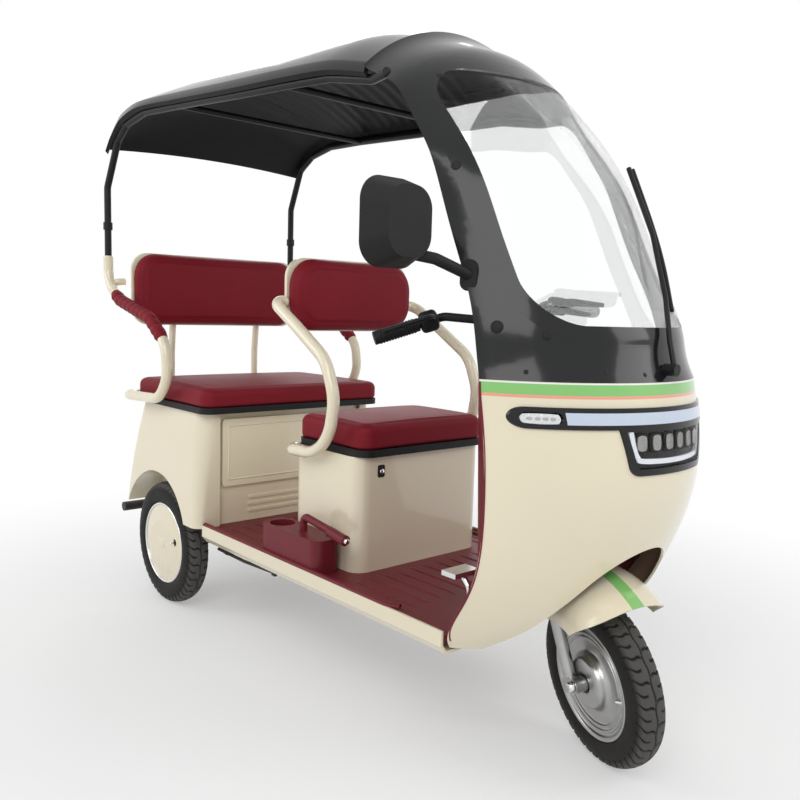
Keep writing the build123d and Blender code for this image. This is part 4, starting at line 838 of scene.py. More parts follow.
@dataclass
class Wheels(Part):
    """Tyres with tread, plain rear caps and the bright front rim."""

    sipes: int = 46
    groove: float = 0.005
    turns: int = 690

    def tyre(self, node: str, body: str, axis: Vector, rim_radius: float) -> None:
        """Tyre as a closed ring of sections.

        The section is a round crown between two bellied walls. Curved grooves are where the phase of the
        angle, shifted by the distance from the crown, falls in a narrow band. A wavy groove runs round the
        middle, and worn_tread marks the ground between the grooves.

        Args:
            node: packed tyre.
            body: body that carries it.
            axis: direction of the axle.
            rim_radius: radius where the tyre meets its rim.
        """
        low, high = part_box(node)
        centre = (low + high) / 2
        reach = points_of(self.node(node)) - np.array(centre)
        along = reach @ np.array(axis)
        radius = np.linalg.norm(reach - along[:, None] * np.array(axis), axis=1).max()
        half = np.abs(along).max()
        share = np.linspace(-1, 1, 81)
        shoulder = radius - half * 0.42
        wall = np.abs(share) > 0.62
        t = np.clip((np.abs(share) - 0.62) / 0.38, 0, 1)
        crown_axial = share / 0.62 * 0.8 * half
        crown_radius = shoulder + (radius - shoulder) * np.sqrt(np.clip(1 - (share / 0.62) ** 2 * 0.96, 0, 1))
        wall_axial = np.sign(share) * half * (0.8 + 0.2 * np.sin(t * pi * 0.75) ** 0.8 - 0.06 * t**3)
        wall_radius = shoulder + (rim_radius - shoulder) * t
        axial = np.where(wall, wall_axial, crown_axial)
        radial = np.where(wall, wall_radius, crown_radius)
        turn = np.linspace(0, 2 * pi, self.turns, endpoint=False)[:, None]
        spread = np.abs(share)[None, :] / 0.62
        swing = 0.75 * spread**1.4 + 0.2 * np.sin(spread * 6.0) + 0.5 * (share[None, :] > 0)
        count = turn / (2 * pi) * self.sipes + swing
        reach = np.where(np.floor(count) % 2 > 0.5, 0.16, 0.42)
        cut = np.clip(1 - np.abs(count % 1.0 - 0.5) / 0.13, 0, 1) * (spread < 1.12) * (spread > reach)
        centre_line = 0.05 * np.sin(turn * self.sipes / 2)
        middle = np.clip(1 - np.abs(share[None, :] / 0.62 - centre_line) / 0.06, 0, 1)
        cut_share = np.clip(np.maximum(cut, middle) * 2.4, 0, 1)
        bead = 0.0012 * np.exp(-((t - 0.55) / 0.05) ** 2)[None, :] * wall[None, :]
        rows = radial[None, :] - self.groove * cut_share + bead
        worn = (1 - cut_share) * np.clip((1.06 - spread) / 0.12, 0, 1)
        first = np.cross(np.array(axis), (0.0, 0.0, 1.0))
        first /= np.linalg.norm(first)
        second = np.cross(np.array(axis), first)
        spoke = np.cos(turn)[:, :, None] * first + np.sin(turn)[:, :, None] * second
        grid = np.array(centre) + axial[None, :, None] * np.array(axis) + rows[:, :, None] * spoke
        obj = grid_piece(node + "_tread", grid, wrap_rows=True, wrap_columns=True)
        layer = obj.data.attributes.new("worn_tread", "FLOAT", "POINT")
        layer.data.foreach_set("value", np.ascontiguousarray(worn, dtype=np.float32).ravel())
        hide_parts(node)
        self.add(obj, body, "tyre_rubber", Slot.TYRE)

    def rear_wheel(self, node: str, body: str, side: float) -> None:
        """Plain domed cap with a rolled edge, a valve notch and a small centre plug.

        Args:
            node: packed wheel.
            body: body that carries it.
            side: -1 on the right and 1 on the left.
        """
        self.coat({node: "cream_gloss"})
        low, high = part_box(node)
        centre = (low + high) / 2
        face = high.y if side > 0 else low.y
        axis = Vector((0, side, 0))
        radius = (high.z - low.z) / 2
        turn = np.linspace(0, 2 * pi, 25)
        lip = np.stack([0.004 * np.cos(turn), radius - 0.006 + 0.004 * np.sin(turn)], axis=-1)
        edge = revolved(f"{node}_lip", lip, Vector((centre.x, face - side * 0.006, centre.z)), axis)
        self.add(edge, body, "bright_steel", Slot.CAP)
        dome = np.linspace(0, pi / 2, 9)
        plug = np.stack([0.004 * np.sin(dome), 0.02 * np.cos(dome)], axis=-1)
        middle = Vector((centre.x, face, centre.z))
        self.add(revolved(f"{node}_plug", plug, middle, axis), body, "cream_gloss", Slot.CAP)
        notch = np.array([(0.0, 0.013), (0.0015, 0.012), (0.0015, 0.0)])
        place = Vector((centre.x + 0.088, face - side * 0.003, centre.z + 0.02))
        self.add(revolved(f"{node}_valve_notch", notch, place, axis, 32), body, "black_mould", Slot.CAP)
        stem = smooth_route(np.array([place, place + axis * 0.008, place + axis * 0.016]), 6)
        self.add(tube_piece(f"{node}_valve", stem, 0.0035, 12), body, "bright_steel", Slot.CAP)

    def front_wheel(self, axis: Vector, hub: Vector) -> None:
        """Bright rim turned in one piece: stepped dishes, a drum in the middle, and a valve.

        Args:
            axis: direction of the front axle.
            hub: middle of the front wheel.
        """
        first = axis.cross(Vector((0, 0, 1))).normalized()
        dish = np.array([
            (0.0240, 0.1370), (0.0330, 0.1360), (0.0345, 0.1320), (0.0320, 0.1270),
            (0.0275, 0.1225), (0.0265, 0.1180), (0.0290, 0.1160), (0.0290, 0.1120),
            (0.0262, 0.1100), (0.0255, 0.1060), (0.0272, 0.1045), (0.0272, 0.1010),
            (0.0240, 0.0990), (0.0222, 0.0900), (0.0222, 0.0780), (0.0240, 0.0700),
            (0.0300, 0.0640), (0.0400, 0.0600), (0.0455, 0.0555), (0.0478, 0.0470),
            (0.0486, 0.0360), (0.0486, 0.0260), (0.0470, 0.0225), (0.0440, 0.0205),
        ])
        smooth = smooth_route(np.column_stack([dish, np.zeros(len(dish))]), 130)[:, :2]
        section = np.concatenate([smooth, (smooth * (-1, 1))[::-1], smooth[:1]])
        rim = revolved("front_rim_dish", section, hub, axis, 128)
        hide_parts("front_rim")
        self.add(rim, "front_wheel", "alloy", Slot.ALLOY)
        stem_root = hub + first * 0.116 + axis * -0.026
        bend, tip = stem_root - first * 0.007 - axis * 0.004, stem_root - first * 0.013 - axis * 0.009
        valve = tube_piece("front_valve", smooth_route(np.array([stem_root, bend, tip]), 6), 0.0036, 12)
        self.add(valve, "front_wheel", "bright_steel", Slot.ALLOY)

    def build(self, axis: Vector, hub: Vector) -> None:
        """Builds the three wheels.

        Args:
            axis: direction of the front axle.
            hub: middle of the front wheel.
        """
        self.tyre("rear_tyre_right", "right_rear_wheel", Vector((0, 1, 0)), 0.142)
        self.tyre("rear_tyre_left", "left_rear_wheel", Vector((0, 1, 0)), 0.142)
        self.tyre("front_tyre", "front_wheel", axis, 0.137)
        self.rear_wheel("rear_wheel_right", "right_rear_wheel", -1.0)
        self.rear_wheel("rear_wheel_left", "left_rear_wheel", 1.0)
        self.front_wheel(axis, hub)


@dataclass
class Seating(Part):
    """Cushions, backrests and the black edges under them."""

    seat: Pad = Pad(0.045, 0.024, 0.012, 0.010, 0.004, 0.0010)
    back: Pad = Pad(0.090, 0.032, 0.010, 0.012, 0.004, 0.0)

    def cushion(self, node: str, body: str, pad: Pad, order: tuple[int, int, int]) -> None:
        """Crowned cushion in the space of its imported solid.

        Args:
            node: packed cushion.
            body: body that carries it.
            pad: its sizes.
            order: axes of its length, width and thickness.
        """
        low, high = (np.array(corner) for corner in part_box(node))
        half = ((high - low) / 2)[list(order)]
        points = np.zeros(pad.points(half).shape)
        points[:, :, list(order)] = pad.points(half)
        obj = grid_piece(node + "_pad", (low + high) / 2 + points, wrap_columns=True)
        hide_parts(node)
        self.add(obj, body, "maroon_leather", Slot.LEATHER)

    def build(self) -> None:
        """Builds the four cushions and dresses their frames."""
        self.cushion("bench_cushion", "bench_lid", self.seat, (0, 1, 2))
        self.cushion("driver_cushion", "driver_seat_lid", self.seat, (0, 1, 2))
        self.cushion("rear_backrest_pad", "chassis", self.back, (2, 1, 0))
        self.cushion("driver_backrest_pad", "chassis", self.back, (2, 1, 0))
        self.coat({"bench_pan": "black_mould", "driver_seat_pan": "black_mould",
                   "rear_backrest_frame": "cream_gloss", "driver_backrest_frame": "cream_gloss"})


@dataclass
class Cab(Part):
    """Roof skin, brow, cowl, windscreen, wiper and mirror."""

    roof_rows: tuple[tuple[float, float, float, float], ...] = (
        (-0.318, 0.411, 1.575, 1.592),
        (-0.270, 0.412, 1.618, 1.672),
        (-0.190, 0.412, 1.664, 1.745),
        (-0.060, 0.406, 1.685, 1.788),
        (0.150, 0.390, 1.676, 1.802),
        (0.480, 0.374, 1.656, 1.798),
        (0.700, 0.362, 1.645, 1.789),
        (0.880, 0.350, 1.634, 1.775),
        (1.036, 0.338, 1.604, 1.744),
    )
    roof_wall: float = 0.010
    caps: tuple[tuple[tuple[float, float], float], ...] = (
        ((440.0, 75.0), 0.010),
        ((547.0, 336.0), 0.010),
        ((456.0, 165.0), 0.012),
        ((497.0, 327.0), 0.014),
        ((526.0, 372.0), 0.006),
        ((606.0, 373.0), 0.006),
        ((645.0, 375.0), 0.006),
    )

    def roof_skin(self) -> None:
        """Roof sheet: arcs across, a smooth curve along, two wavy ribs on top and a ribbed lining below.

        Across, each section is the arc through both eaves and the crown, with the edge turned down. Along,
        the sizes follow monotone cubic spans through the listed rows of x, half width, eaves and crown.
        """
        rows = np.array(self.roof_rows)
        x = np.linspace(rows[0, 0], rows[-1, 0], 170)
        sizes = [self.monotone(rows[:, 0], rows[:, column], x) for column in (1, 2, 3)]
        half, eaves, crown = (size[:, None] for size in sizes)
        share = np.linspace(-1, 1, 121)[None, :]
        rise = crown - eaves
        arc = (half**2 + rise**2) / (2 * rise)
        y = half * share
        top = crown - arc + np.sqrt(np.clip(arc**2 - y**2, 0, None))
        wave = 0.5 + 0.045 * np.sin(x[:, None] * 7.0)
        rib = np.exp(-((np.abs(share) - wave) / 0.035) ** 2)
        ends = np.clip((x[:, None] + 0.16) / 0.1, 0, 1) * np.clip((0.86 - x[:, None]) / 0.1, 0, 1)
        lifted = top + 0.006 * rib * ends
        edge = np.clip((np.abs(share) - 0.985) / 0.015, 0, 1)
        lifted = lifted - 0.016 * edge**2
        grid_x = np.broadcast_to(x[:, None], y.shape)
        outer = np.stack([grid_x, y, lifted], axis=-1)
        lining = 0.0022 * np.sin(x[:, None] * 2 * pi / 0.055) * ends * (np.abs(share) < 0.93)
        under = top - self.roof_wall - 0.016 * edge**2 - lining
        inner = np.stack([grid_x, y * (1 - self.roof_wall / half), under], axis=-1)
        loop = np.concatenate([outer, inner[:, ::-1]], axis=1)
        obj = link_mesh("roof_skin", loop, capped_faces(*loop.shape[:2]))
        obj.data.set_sharp_from_angle(angle=radians(50))
        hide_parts("roof")
        self.add(obj, "chassis", "black_gloss", Slot.GLOSS)
        obj.data.materials.append(self.paints.get("roof_lining"))
        normals = np.empty(len(obj.data.polygons) * 3)
        obj.data.polygons.foreach_get("normal", normals)
        below = (normals.reshape(-1, 3)[:, 2] < -0.3).astype(np.int32)
        obj.data.polygons.foreach_set("material_index", below)

    @staticmethod
    def monotone(places: Array, values: Array, at: Array) -> Array:
        """Monotone cubic curve through values: slopes are harmonic means of the neighbouring runs."""
        step = np.diff(places)
        run = np.diff(values) / step
        inner = np.where(run[:-1] * run[1:] > 0, 2 * run[:-1] * run[1:] / (run[:-1] + run[1:] + 1e-12), 0.0)
        slope = np.concatenate([[run[0]], inner, [run[-1]]])
        span = np.clip(np.searchsorted(places, at, side="right") - 1, 0, len(step) - 1)
        t = (at - places[span]) / step[span]
        h00, h10 = 2 * t**3 - 3 * t**2 + 1, t**3 - 2 * t**2 + t
        h01, h11 = -2 * t**3 + 3 * t**2, t**3 - t**2
        return (h00 * values[span] + h10 * step[span] * slope[span]
                + h01 * values[span + 1] + h11 * step[span] * slope[span + 1])

    def fixings(self) -> None:
        """Domed caps and screw heads on the pillar, set on the surface that carries them."""
        graph = bpy.context.evaluated_depsgraph_get()
        carriers = [self.node("cowl_pillars"), self.node("windscreen_border"), bpy.data.objects["roof_skin"]]
        trees = [BVHTree.FromObject(carrier, graph) for carrier in carriers]
        dome = np.linspace(0, pi / 2, 7)
        for number, (pixel, radius) in enumerate(self.caps):
            found = self.camera.hit(pixel, trees)
            if found is None:
                log.warning("no surface carries cap %d", number)
                continue
            point, normal = found
            profile = np.stack([radius * 0.35 * np.sin(dome) - 0.001, radius * np.cos(dome)], axis=-1)
            cap = revolved(f"pillar_cap_{number}", profile, point, normal, 28)
            self.add(cap, "chassis", "black_mould", Slot.GLOSS)

    def wiper_blade(self) -> None:
        """Rubber blade beside the upper part of the wiper arm."""
        arm = np.array([
            (1.646, 0.052, 1.05), (1.596, 0.088, 1.15), (1.538, 0.125, 1.245), (1.452, 0.162, 1.386)])
        path = smooth_route(arm, 40)
        self.add(tube_piece("wiper_blade", path, 0.0045, 10), "chassis", "black_mould", Slot.BLACK_PAINT)

    def build(self) -> None:
        """Builds the cab."""
        self.roof_skin()
        self.coat({
            "cowl_pillars": "black_gloss", "windscreen_border": "black_gloss", "windscreen": "screen_glass",
            "roof_frame": "black_satin", "wiper": "black_satin", "mirror_housing": "black_mould",
            "mirror_glass": "mirror_face"})
        self.wiper_blade()
        self.fixings()


@dataclass
class FrontBody(Part):
    """Apron with its stripes, lamps, leg shield and dash."""

    rows: tuple[tuple[float, float, float, float], ...] = (
        (0.288, 1.374, 0.322, 1.515),
        (0.340, 1.392, 0.344, 1.566),
        (0.450, 1.454, 0.350, 1.626),
        (0.565, 1.480, 0.350, 1.678),
        (0.692, 1.482, 0.351, 1.708),
        (0.795, 1.474, 0.353, 1.702),
        (0.900, 1.462, 0.357, 1.680),
    )

    def on_apron(self, y: Array, z: Array, proud: float) -> Array:
        """Points on the apron: at each height the arc through both rear edges and the nose, moved out."""
        table = np.array(self.rows)
        sizes = [Cab.monotone(table[:, 0], table[:, column], z.ravel()) for column in (1, 2, 3)]
        rear, half, nose = (size.reshape(z.shape) for size in sizes)
        depth = nose - rear
        arc = (half**2 + depth**2) / (2 * depth)
        x = nose - arc + np.sqrt(np.clip((arc + proud) ** 2 - y**2, 0, None))
        return np.stack([x, y, z], axis=-1)

    def slab(self, name: str, y: Array, z: Array, proud: float, thick: float, finish: str) -> None:
        """Thin slab that follows the apron.

        Args:
            name: name of the piece.
            y: grid of places across.
            z: grid of heights.
            proud: how far its face stands out of the apron.
            thick: its thickness.
            finish: name of its finish.
        """
        face = self.on_apron(y, z, proud)
        back = self.on_apron(y, z, proud - thick)
        rows, columns = y.shape
        faces = grid_faces(rows, columns, False, False)
        faces += [quad[::-1] for quad in grid_faces(rows, columns, False, False, rows * columns)]
        border = np.concatenate([
            np.arange(columns), np.arange(1, rows) * columns + columns - 1,
            (rows - 1) * columns + np.arange(columns - 2, -1, -1), np.arange(rows - 2, 0, -1) * columns])
        ahead = np.roll(border, -1)
        shift = rows * columns
        faces += [(a, b, b + shift, a + shift) for a, b in zip(border.tolist(), ahead.tolist())]
        obj = link_mesh(name, np.concatenate([face.reshape(-1, 3), back.reshape(-1, 3)]), faces)
        obj.data.set_sharp_from_angle(angle=radians(40))
        self.add(obj, "chassis", finish, Slot.LENS)

    @staticmethod
    def rounded(y: float, z: float, half_y: float, half_z: float, roundness: float) -> tuple[Array, Array]:
        """Grid of places and heights: a square grid drawn in at its corners, round at a roundness of 1."""
        across, up = np.meshgrid(np.linspace(-1, 1, 17), np.linspace(-1, 1, 17), indexing="xy")
        draw = 0.5 * roundness
        places = y + half_y * across * np.sqrt(1 - draw * up**2)
        return places, z + half_z * up * np.sqrt(1 - draw * across**2)

    def lamps(self) -> None:
        """Light guide across the bar, turn lamps with small lights, headlamp strip and projectors."""
        y, z = np.meshgrid(np.linspace(-0.252, 0.252, 100), np.linspace(0.8158, 0.8402, 8), indexing="xy")
        self.slab("light_guide", y * (1 + 0.35 * (z - 0.8158)), z, 0.004, 0.006, "light_guide")
        y, z = np.meshgrid(np.linspace(-0.150, 0.150, 60), np.linspace(0.722, 0.803, 16), indexing="xy")
        self.slab("headlamp_well", y * (0.86 + 0.14 * (z - 0.722) / 0.081), z, -0.006, 0.005, "black_gloss")
        for side in (-1, 1):
            y, z = self.rounded(side * 0.288, 0.8265, 0.0275, 0.0105, 0.45)
            self.slab(f"turn_reflector_{side}", y, z, 0.0015, 0.004, "reflector")
            for number in range(4):
                y, z = self.rounded(side * (0.272 + 0.0107 * number), 0.8265, 0.0036, 0.0036, 1.0)
                self.slab(f"turn_light_{side}_{number}", y, z, 0.0026, 0.0024, "alloy")
        route = np.array([(-0.136, 0.803), (-0.129, 0.768), (-0.119, 0.745), (-0.101, 0.735), (0.0, 0.732),
                          (0.101, 0.735), (0.119, 0.745), (0.129, 0.768), (0.136, 0.803)])
        line = smooth_route(np.column_stack([route, np.zeros(len(route))]), 120)
        inwards = frames_along(line)[0]
        inwards *= np.sign(inwards[len(line) // 2, 1])
        share = np.linspace(0.0, 0.0105, 5)[:, None]
        y, z = (line[:, column] + share * inwards[:, column] for column in (0, 1))
        self.slab("headlamp_strip", y, z, 0.001, 0.005, "strip_white")
        for number, place in enumerate((-0.103, -0.062, -0.0207, 0.0207, 0.062, 0.103)):
            y, z = self.rounded(place, 0.777, 0.0175, 0.0215, 0.5)
            self.slab(f"headlamp_cup_{number}", y, z, -0.0025, 0.004, "black_mould")
            y, z = self.rounded(place, 0.777, 0.0125, 0.0165, 0.6)
            self.slab(f"headlamp_projector_{number}", y, z, 0.0005, 0.004, "projector")

    def build(self) -> None:
        """Builds the front body."""
        self.coat({"front_apron": "cream_waist", "leg_shield": "maroon_mould", "dash_panel": "black_mould",
                   "lamp_bezel": "black_gloss", "lamp_lenses": "lens_clear"})
        self.lamps()


@dataclass
class Steering(Part):
    """Fork, fender, bars, grips and switches."""

    fender_wall: float = 0.003
    fender_drop: float = 0.110
    fender_flare: float = 0.016
    fender_reach: float = 0.06
    fender_sweep: float = 0.24

    def build(self, axis: Vector, hub: Vector) -> None:
        """Dresses the steering and adds the fender, switch blocks, grip ribs and axle nuts.

        Args:
            axis: direction of the front axle.
            hub: middle of the front wheel.
        """
        self.fender(axis, hub)
        self.coat({"fork": "alloy", "handlebar": "black_satin",
                   "grips": "black_mould", "brake_levers": "black_satin"})
        for side in (-1, 1):
            nut = np.array([(-0.004, 0.0125), (0.006, 0.0125), (0.008, 0.010), (0.008, 0.0)])
            self.add(revolved(f"axle_nut_{side}", nut, hub + axis * side * 0.082, axis * side, 6), "steering",
                     "bright_steel", Slot.ALLOY)
            self.grip(side)

    def fender(self, axis: Vector, hub: Vector) -> None:
        """Mudguard: a half-ellipse section turned round the hub, with a wall and swept front corners.

        Args:
            axis: direction of the front axle.
            hub: middle of the front wheel.
        """
        reach = points_of(self.node("front_fender")) - np.array(hub)
        along = np.array(axis)
        first = np.cross(along, (0.0, 0.0, 1.0))
        first /= np.linalg.norm(first)
        second = np.cross(first, along)
        angle = np.arctan2(reach @ first, reach @ second)
        out = np.linalg.norm(reach - (reach @ along)[:, None] * along, axis=1)
        half = np.abs(reach @ along).max() + self.fender_flare
        bow = np.linspace(-pi / 2, pi / 2, 41)[None, :, None]
        front = angle.max() + self.fender_reach - self.fender_sweep * (1 - np.cos(bow)) ** 2
        swing = angle.min() + (front - angle.min()) * np.linspace(0, 1, 60)[:, None, None]
        skins = []
        for wall in (0.0, self.fender_wall):
            side = (half - wall) * np.sin(bow)
            level = out.max() - self.fender_drop + (self.fender_drop - wall) * np.abs(np.cos(bow)) ** 0.9
            outwards = np.sin(swing) * first + np.cos(swing) * second
            skins.append(np.array(hub) + side * along + level * outwards)
        loop = np.concatenate([skins[0], skins[1][:, ::-1]], axis=1)
        obj = link_mesh("mudguard", loop, capped_faces(*loop.shape[:2]))
        obj.data.set_sharp_from_angle(angle=radians(50))
        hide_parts("front_fender")
        self.add(obj, "steering", "cream_fender", Slot.CREAM)

    def grip(self, side: int) -> None:
        """Ribs round a grip, with the switch block beside it.

        Args:
            side: -1 on the right and 1 on the left.
        """
        points = points_of(self.node("grips"))
        points = points[points[:, 1] * side > 0]
        middle = points.mean(axis=0)
        along = np.linalg.svd(points - middle)[2][0]
        along *= np.sign(along[1] * side)
        ring_turn = np.linspace(0, 2 * pi, 9)
        for number, place in enumerate(np.linspace(-0.045, 0.045, 13)):
            ring = np.stack([0.0022 * np.cos(ring_turn), 0.0172 + 0.0016 * np.sin(ring_turn)], axis=-1)
            spot = Vector(middle + along * place)
            rib = revolved(f"grip_rib_{side}_{number}", ring, spot, Vector(along), 28)
            self.add(rib, "steering", "black_mould", Slot.PLASTIC)
        block = block_points(np.array([0.024, 0.021, 0.024]), 0.45)
        turn = Vector((1, 0, 0)).rotation_difference(Vector(along)).to_matrix()
        place = middle - along * 0.086
        switch = grid_piece(f"switch_block_{side}", block @ np.array(turn).T + place, wrap_columns=True)
        self.add(switch, "steering", "black_mould", Slot.PLASTIC)
        button = np.array([(-0.004, 0.0055), (0.002, 0.0055), (0.003, 0.004), (0.003, 0.0)])
        top = Vector(place + np.array([-0.012, 0.0, 0.0205]))
        finish = "amber" if side < 0 else "bright_steel"
        knob = revolved(f"switch_button_{side}", button, top, Vector((-0.4, 0, 0.9)), 20)
        self.add(knob, "steering", finish, Slot.PLASTIC)


@dataclass
class MidBody(Part):
    """Floor with its ribs, the driver's seat box, console, sills and underframe."""

    arm_y: float = 0.276
    arm_radius: float = 0.017
    arm_bends: tuple[float, ...] = (0.035, 0.12, 0.12, 0.12, 0.12, 0.12, 0.035)
    arm_route: tuple[tuple[float, float], ...] = (
        (0.690, 0.978), (0.826, 0.895), (0.866, 0.795), (0.846, 0.680), (0.768, 0.634), (0.650, 0.630))

    def arm_tubes(self) -> None:
        """Driver's arm rests: one bent tube a side, from the backrest's edge down to the seat box's wall."""
        back_low, back_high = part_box("driver_backrest_frame")
        box_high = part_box("driver_seat_box")[1]
        top_x, top_z = (back_low.x + back_high.x) / 2, 1.050
        low_x, low_z = self.arm_route[-1]
        points, faces = [], []
        sides = 20
        for side in (-1, 1):
            places = [(top_x, back_high.y - 0.002, top_z), (top_x, self.arm_y, top_z)]
            places += [(x, self.arm_y, z) for x, z in self.arm_route]
            places.append((low_x, box_high.y - 0.002, low_z))
            line = bent_route(np.array(places) * (1, side, 1), self.arm_bends, 0.006)
            start = sum(len(block) for block in points)
            points.append(tube_points(line, self.arm_radius, sides).reshape(-1, 3))
            faces += capped_faces(len(line), sides, start)
        obj = link_mesh("driver_arm_rests", np.concatenate(points), faces)
        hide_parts("driver_arm_tubes")
        self.add(obj, "chassis", "cream_gloss", Slot.CREAM)

    def floor_ribs(self) -> None:
        """Long rounded ribs on the floor, clear of the seat box and the console."""
        low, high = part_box("floor_board")
        box_low, box_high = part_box("driver_seat_box")
        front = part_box("brake_pedal")[0].x - 0.06
        runs = []
        for y in np.linspace(-0.225, 0.225, 10):
            runs += [(box_high.x + 0.03, front, y), (low.x + 0.05, box_low.x - 0.13, y)]
        runs += [(low.x + 0.05, front, y) for y in (0.27, 0.305)]
        runs += [(box_high.x + 0.03, front, y) for y in (-0.27, -0.305)]
        runs += [(low.x + 0.05, 0.58, y) for y in (-0.27, -0.305)]
        points, faces = [], []
        for start, stop, y in runs:
            path = np.column_stack([np.linspace(start, stop, 14), np.full(14, y), np.full(14, high.z)])
            taper = np.clip(np.minimum(np.arange(14), np.arange(13, -1, -1)) / 1.5, 0, 1)
            turn = np.linspace(0, pi, 9)
            wide = 0.006 * np.cos(turn)[None, :] * np.ones((14, 1))
            tall = 0.0032 * np.sin(turn)[None, :] * taper[:, None]
            strip = path[:, None] + np.stack([np.zeros_like(wide), wide, tall - 0.0004], axis=-1)
            faces += grid_faces(14, 9, False, True, sum(len(block) for block in points))
            points.append(strip.reshape(-1, 3))
        obj = link_mesh("floor_ribs", np.concatenate(points), faces)
        self.add(obj, "chassis", "maroon_mould", Slot.MAROON)

    def floor_lip(self) -> None:
        """Rolled edge along each side of the floor: a flattened bead that turns in at its front."""
        low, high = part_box("floor_board")
        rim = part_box("side_sills")[1]
        for side in (-1, 1):
            half = rim.y - 0.010
            route = np.array([(low.x + 0.02, half), (high.x - 0.20, half), (high.x - 0.16, half - 0.02)])
            corners = np.column_stack([route[:, 0], side * route[:, 1], np.full(3, rim.z)])
            path = bent_route(corners, 0.05, 0.01)
            across, _ = frames_along(path)
            turn = np.linspace(0, pi, 13)
            wide = 0.0095 * np.cos(turn)[None, :, None] * across[:, None]
            tall = 0.008 * np.sin(turn)[None, :, None] * np.array([0.0, 0.0, 1.0])
            strip = path[:, None] + wide + tall - np.array([0.0, 0.0, 0.0006])
            lip = grid_piece(f"floor_lip_{side}", strip, wrap_columns=True)
            self.add(lip, "chassis", "maroon_mould", Slot.MAROON)

    def lock_plate(self) -> None:
        """Small bright lock on a dark plate on the seat box's front, near its top."""
        box_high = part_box("driver_seat_box")[1]
        place = Vector((box_high.x, -0.16, box_high.z - 0.042))
        plate = block_points(np.array([0.017, 0.012, 0.003]), 0.3)[:, :, [2, 1, 0]]
        backing = grid_piece("seat_lock_plate", plate + np.array(place), wrap_columns=True)
        self.add(backing, "chassis", "black_mould", Slot.PLASTIC)
        barrel = np.array([(0.002, 0.007), (0.006, 0.007), (0.007, 0.006), (0.007, 0.0)])
        lock = revolved("seat_lock_barrel", barrel, place, Vector((1, 0, 0)), 28)
        self.add(lock, "chassis", "bright_steel", Slot.PLASTIC)

    def build(self) -> None:
        """Dresses the middle of the vehicle."""
        self.coat({
            "floor_board": "maroon_mould", "side_sills": "cream_gloss", "driver_seat_box": "cream_gloss",
            "hand_brake_console": "maroon_mould", "hand_brake_lever": "maroon_mould",
            "brake_pedal": "bright_steel", "underframe": "black_satin", "rear_axle": "black_satin",
            "leaf_springs": "black_satin", "battery_pack": "battery_case",
        })
        self.arm_tubes()
        self.floor_ribs()
        self.floor_lip()
        self.lock_plate()
        low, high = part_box("hand_brake_lever")
        tip = np.array([(high.x, 0, low.z)]) + np.array([(-0.07, 0, 0.024), (-0.03, 0, 0.018), (0, 0, 0.014)])
        tip[:, 1] = (low.y + high.y) / 2
        grip = tube_piece("hand_brake_grip", smooth_route(tip, 20), 0.0145, 20)
        self.add(grip, "chassis", "maroon_mould", Slot.MAROON)
        button = np.array([(0.0, 0.008), (0.008, 0.008), (0.010, 0.006), (0.010, 0.0)])
        knob = revolved("hand_brake_button", button, Vector(tip[2]), Vector(tip[2] - tip[1]), 20)
        self.add(knob, "chassis", "bright_steel", Slot.ALLOY)


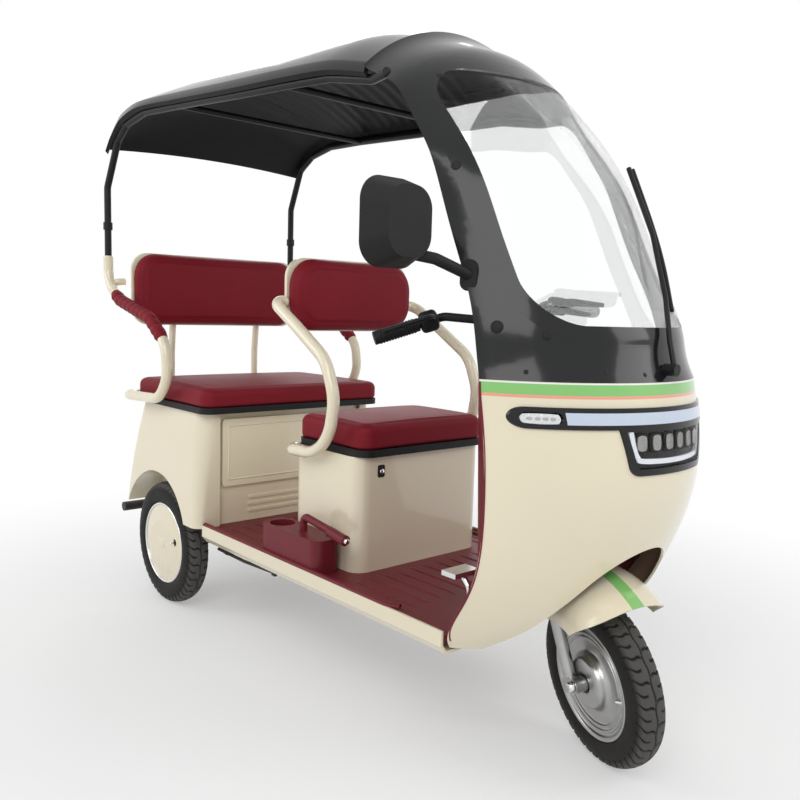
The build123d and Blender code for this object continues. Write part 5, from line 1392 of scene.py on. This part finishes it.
@dataclass
class RearBody(Part):
    """Pods, storage door, arm tubes with their wraps, bumper and tail lamps."""

    wrap_pitch: float = 0.034
    wrap_run: tuple[float, float] = (0.165, 0.570)
    arm_bend: float = 0.095
    arm_y: float = 0.392
    arm_radius: float = 0.017
    arm_route: tuple[tuple[float, float], ...] = (
        (-0.348, 1.198), (-0.348, 1.100), (-0.245, 1.040), (-0.005, 0.983), (0.108, 0.905), (0.124, 0.795),
        (0.062, 0.720), (-0.250, 0.707))

    def arm_tube(self) -> None:
        """Rear arm rests: one tube bent from post to post, and a stay to the backrest on each side."""
        right = [(x, -self.arm_y, z) for x, z in self.arm_route]
        left = [(x, self.arm_y, z) for x, z in reversed(self.arm_route)]
        line = bent_route(np.array(right + left), self.arm_bend, 0.006)
        obj = tube_piece("rear_arm_rests", line, self.arm_radius)
        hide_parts("rear_arm_tubes")
        self.add(obj, "chassis", "cream_gloss", Slot.CREAM)
        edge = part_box("rear_backrest_frame")[1].y - 0.004
        for side in (-1, 1):
            start = np.array([-0.338, side * self.arm_y, 1.098])
            route = np.array([start, start + (0.012, -side * 0.03, 0.008), (-0.322, side * edge, 1.108)])
            stay = tube_piece(f"back_stay_{side}", smooth_route(route, 16), 0.0125)
            self.add(stay, "chassis", "cream_gloss", Slot.CREAM)

    def wraps(self) -> None:
        """Padded spiral wraps: a tube along the arm whose radius swells in slanted turns."""
        for side in (-1, 1):
            route = np.array([(x, side * self.arm_y, z) for x, z in self.arm_route])
            line = bent_route(route, self.arm_bend)
            path = line[int(self.wrap_run[0] / 0.002):int(self.wrap_run[1] / 0.002)]
            points = tube_points(path, 1.0, 28)
            turn = np.linspace(0, 1, 28, endpoint=False)[None, :]
            phase = (np.arange(len(path))[:, None] * 0.002 / self.wrap_pitch + turn) % 1.0
            size = 0.0188 + 0.0036 * np.sin(phase * pi) ** 0.5
            row = np.arange(len(path))[:, None]
            ends = np.clip(np.minimum(row, row[::-1]) / 8, 0, 1)
            size = 0.0176 + (size - 0.0176) * ends
            grid = path[:, None] + (points - path[:, None]) * size[:, :, None]
            wrap = grid_piece(f"arm_wrap_{side}", grid, wrap_columns=True)
            self.add(wrap, "chassis", "maroon_leather", Slot.LEATHER)

    def door(self) -> None:
        """Door with a raised inner frame."""
        self.coat({"storage_door": "cream_gloss"})
        low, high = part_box("storage_door")
        inset = 0.022
        corners = np.array([(low.y + inset, low.z + inset), (high.y - inset, low.z + inset),
                            (high.y - inset, high.z - inset), (low.y + inset, high.z - inset)])
        closed = np.vstack([corners, corners[:1]])
        place = np.linspace(0, 4, 161)
        span = np.minimum(place.astype(int), 3)
        share = (place - span)[:, None]
        line = closed[span] * (1 - share) + closed[span + 1] * share
        path = np.column_stack([np.full(len(line), high.x), line])
        rings = tube_points(path, 0.0026, 10)[:-1]
        bead = grid_piece("door_frame_bead", rings, wrap_rows=True, wrap_columns=True)
        self.add(bead, "storage_door", "cream_gloss", Slot.CREAM)

    def tail_lamps(self) -> None:
        """Red lamps with an amber middle band."""
        self.coat({"tail_lamps": "red_lens"})
        low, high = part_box("tail_lamps")
        for side in (-1, 1):
            band = block_points(np.array([0.004, 0.021, 0.014]), 0.35)
            spot = np.array([low.x - 0.001, side * (high.y - 0.025), (low.z + high.z) / 2])
            lamp = grid_piece(f"tail_lamp_band_{side}", band + spot, wrap_columns=True)
            self.add(lamp, "chassis", "amber", Slot.RED)

    def build(self) -> None:
        """Dresses the rear of the vehicle."""
        self.coat({"rear_pods": "cream_gloss", "rear_box": "cream_gloss", "rear_bumper": "black_satin"})
        self.arm_tube()
        self.wraps()
        self.door()
        self.tail_lamps()


def main() -> None:
    """Builds the scene: studio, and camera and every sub-assembly."""
    logging.basicConfig(level=logging.INFO, format="%(name)s: %(message)s")
    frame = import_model()
    roll = next(joint for joint in frame["joints"] if joint["name"] == "front_wheel_roll")
    axis, hub = Vector(roll["axis"]).normalized(), Vector(roll["pos_m"])
    bpy.context.scene.view_settings.view_transform = "Standard"
    camera = PhotoCamera()
    camera.build()
    Studio().build()
    tools = (frame, Paintbox(axis, hub), camera)
    Wheels(*tools).build(axis, hub)
    Steering(*tools).build(axis, hub)
    FrontBody(*tools).build()
    Cab(*tools).build()
    MidBody(*tools).build()
    Seating(*tools).build()
    RearBody(*tools).build()
    bpy.context.view_layer.update()


if __name__ == "__main__":
    main()
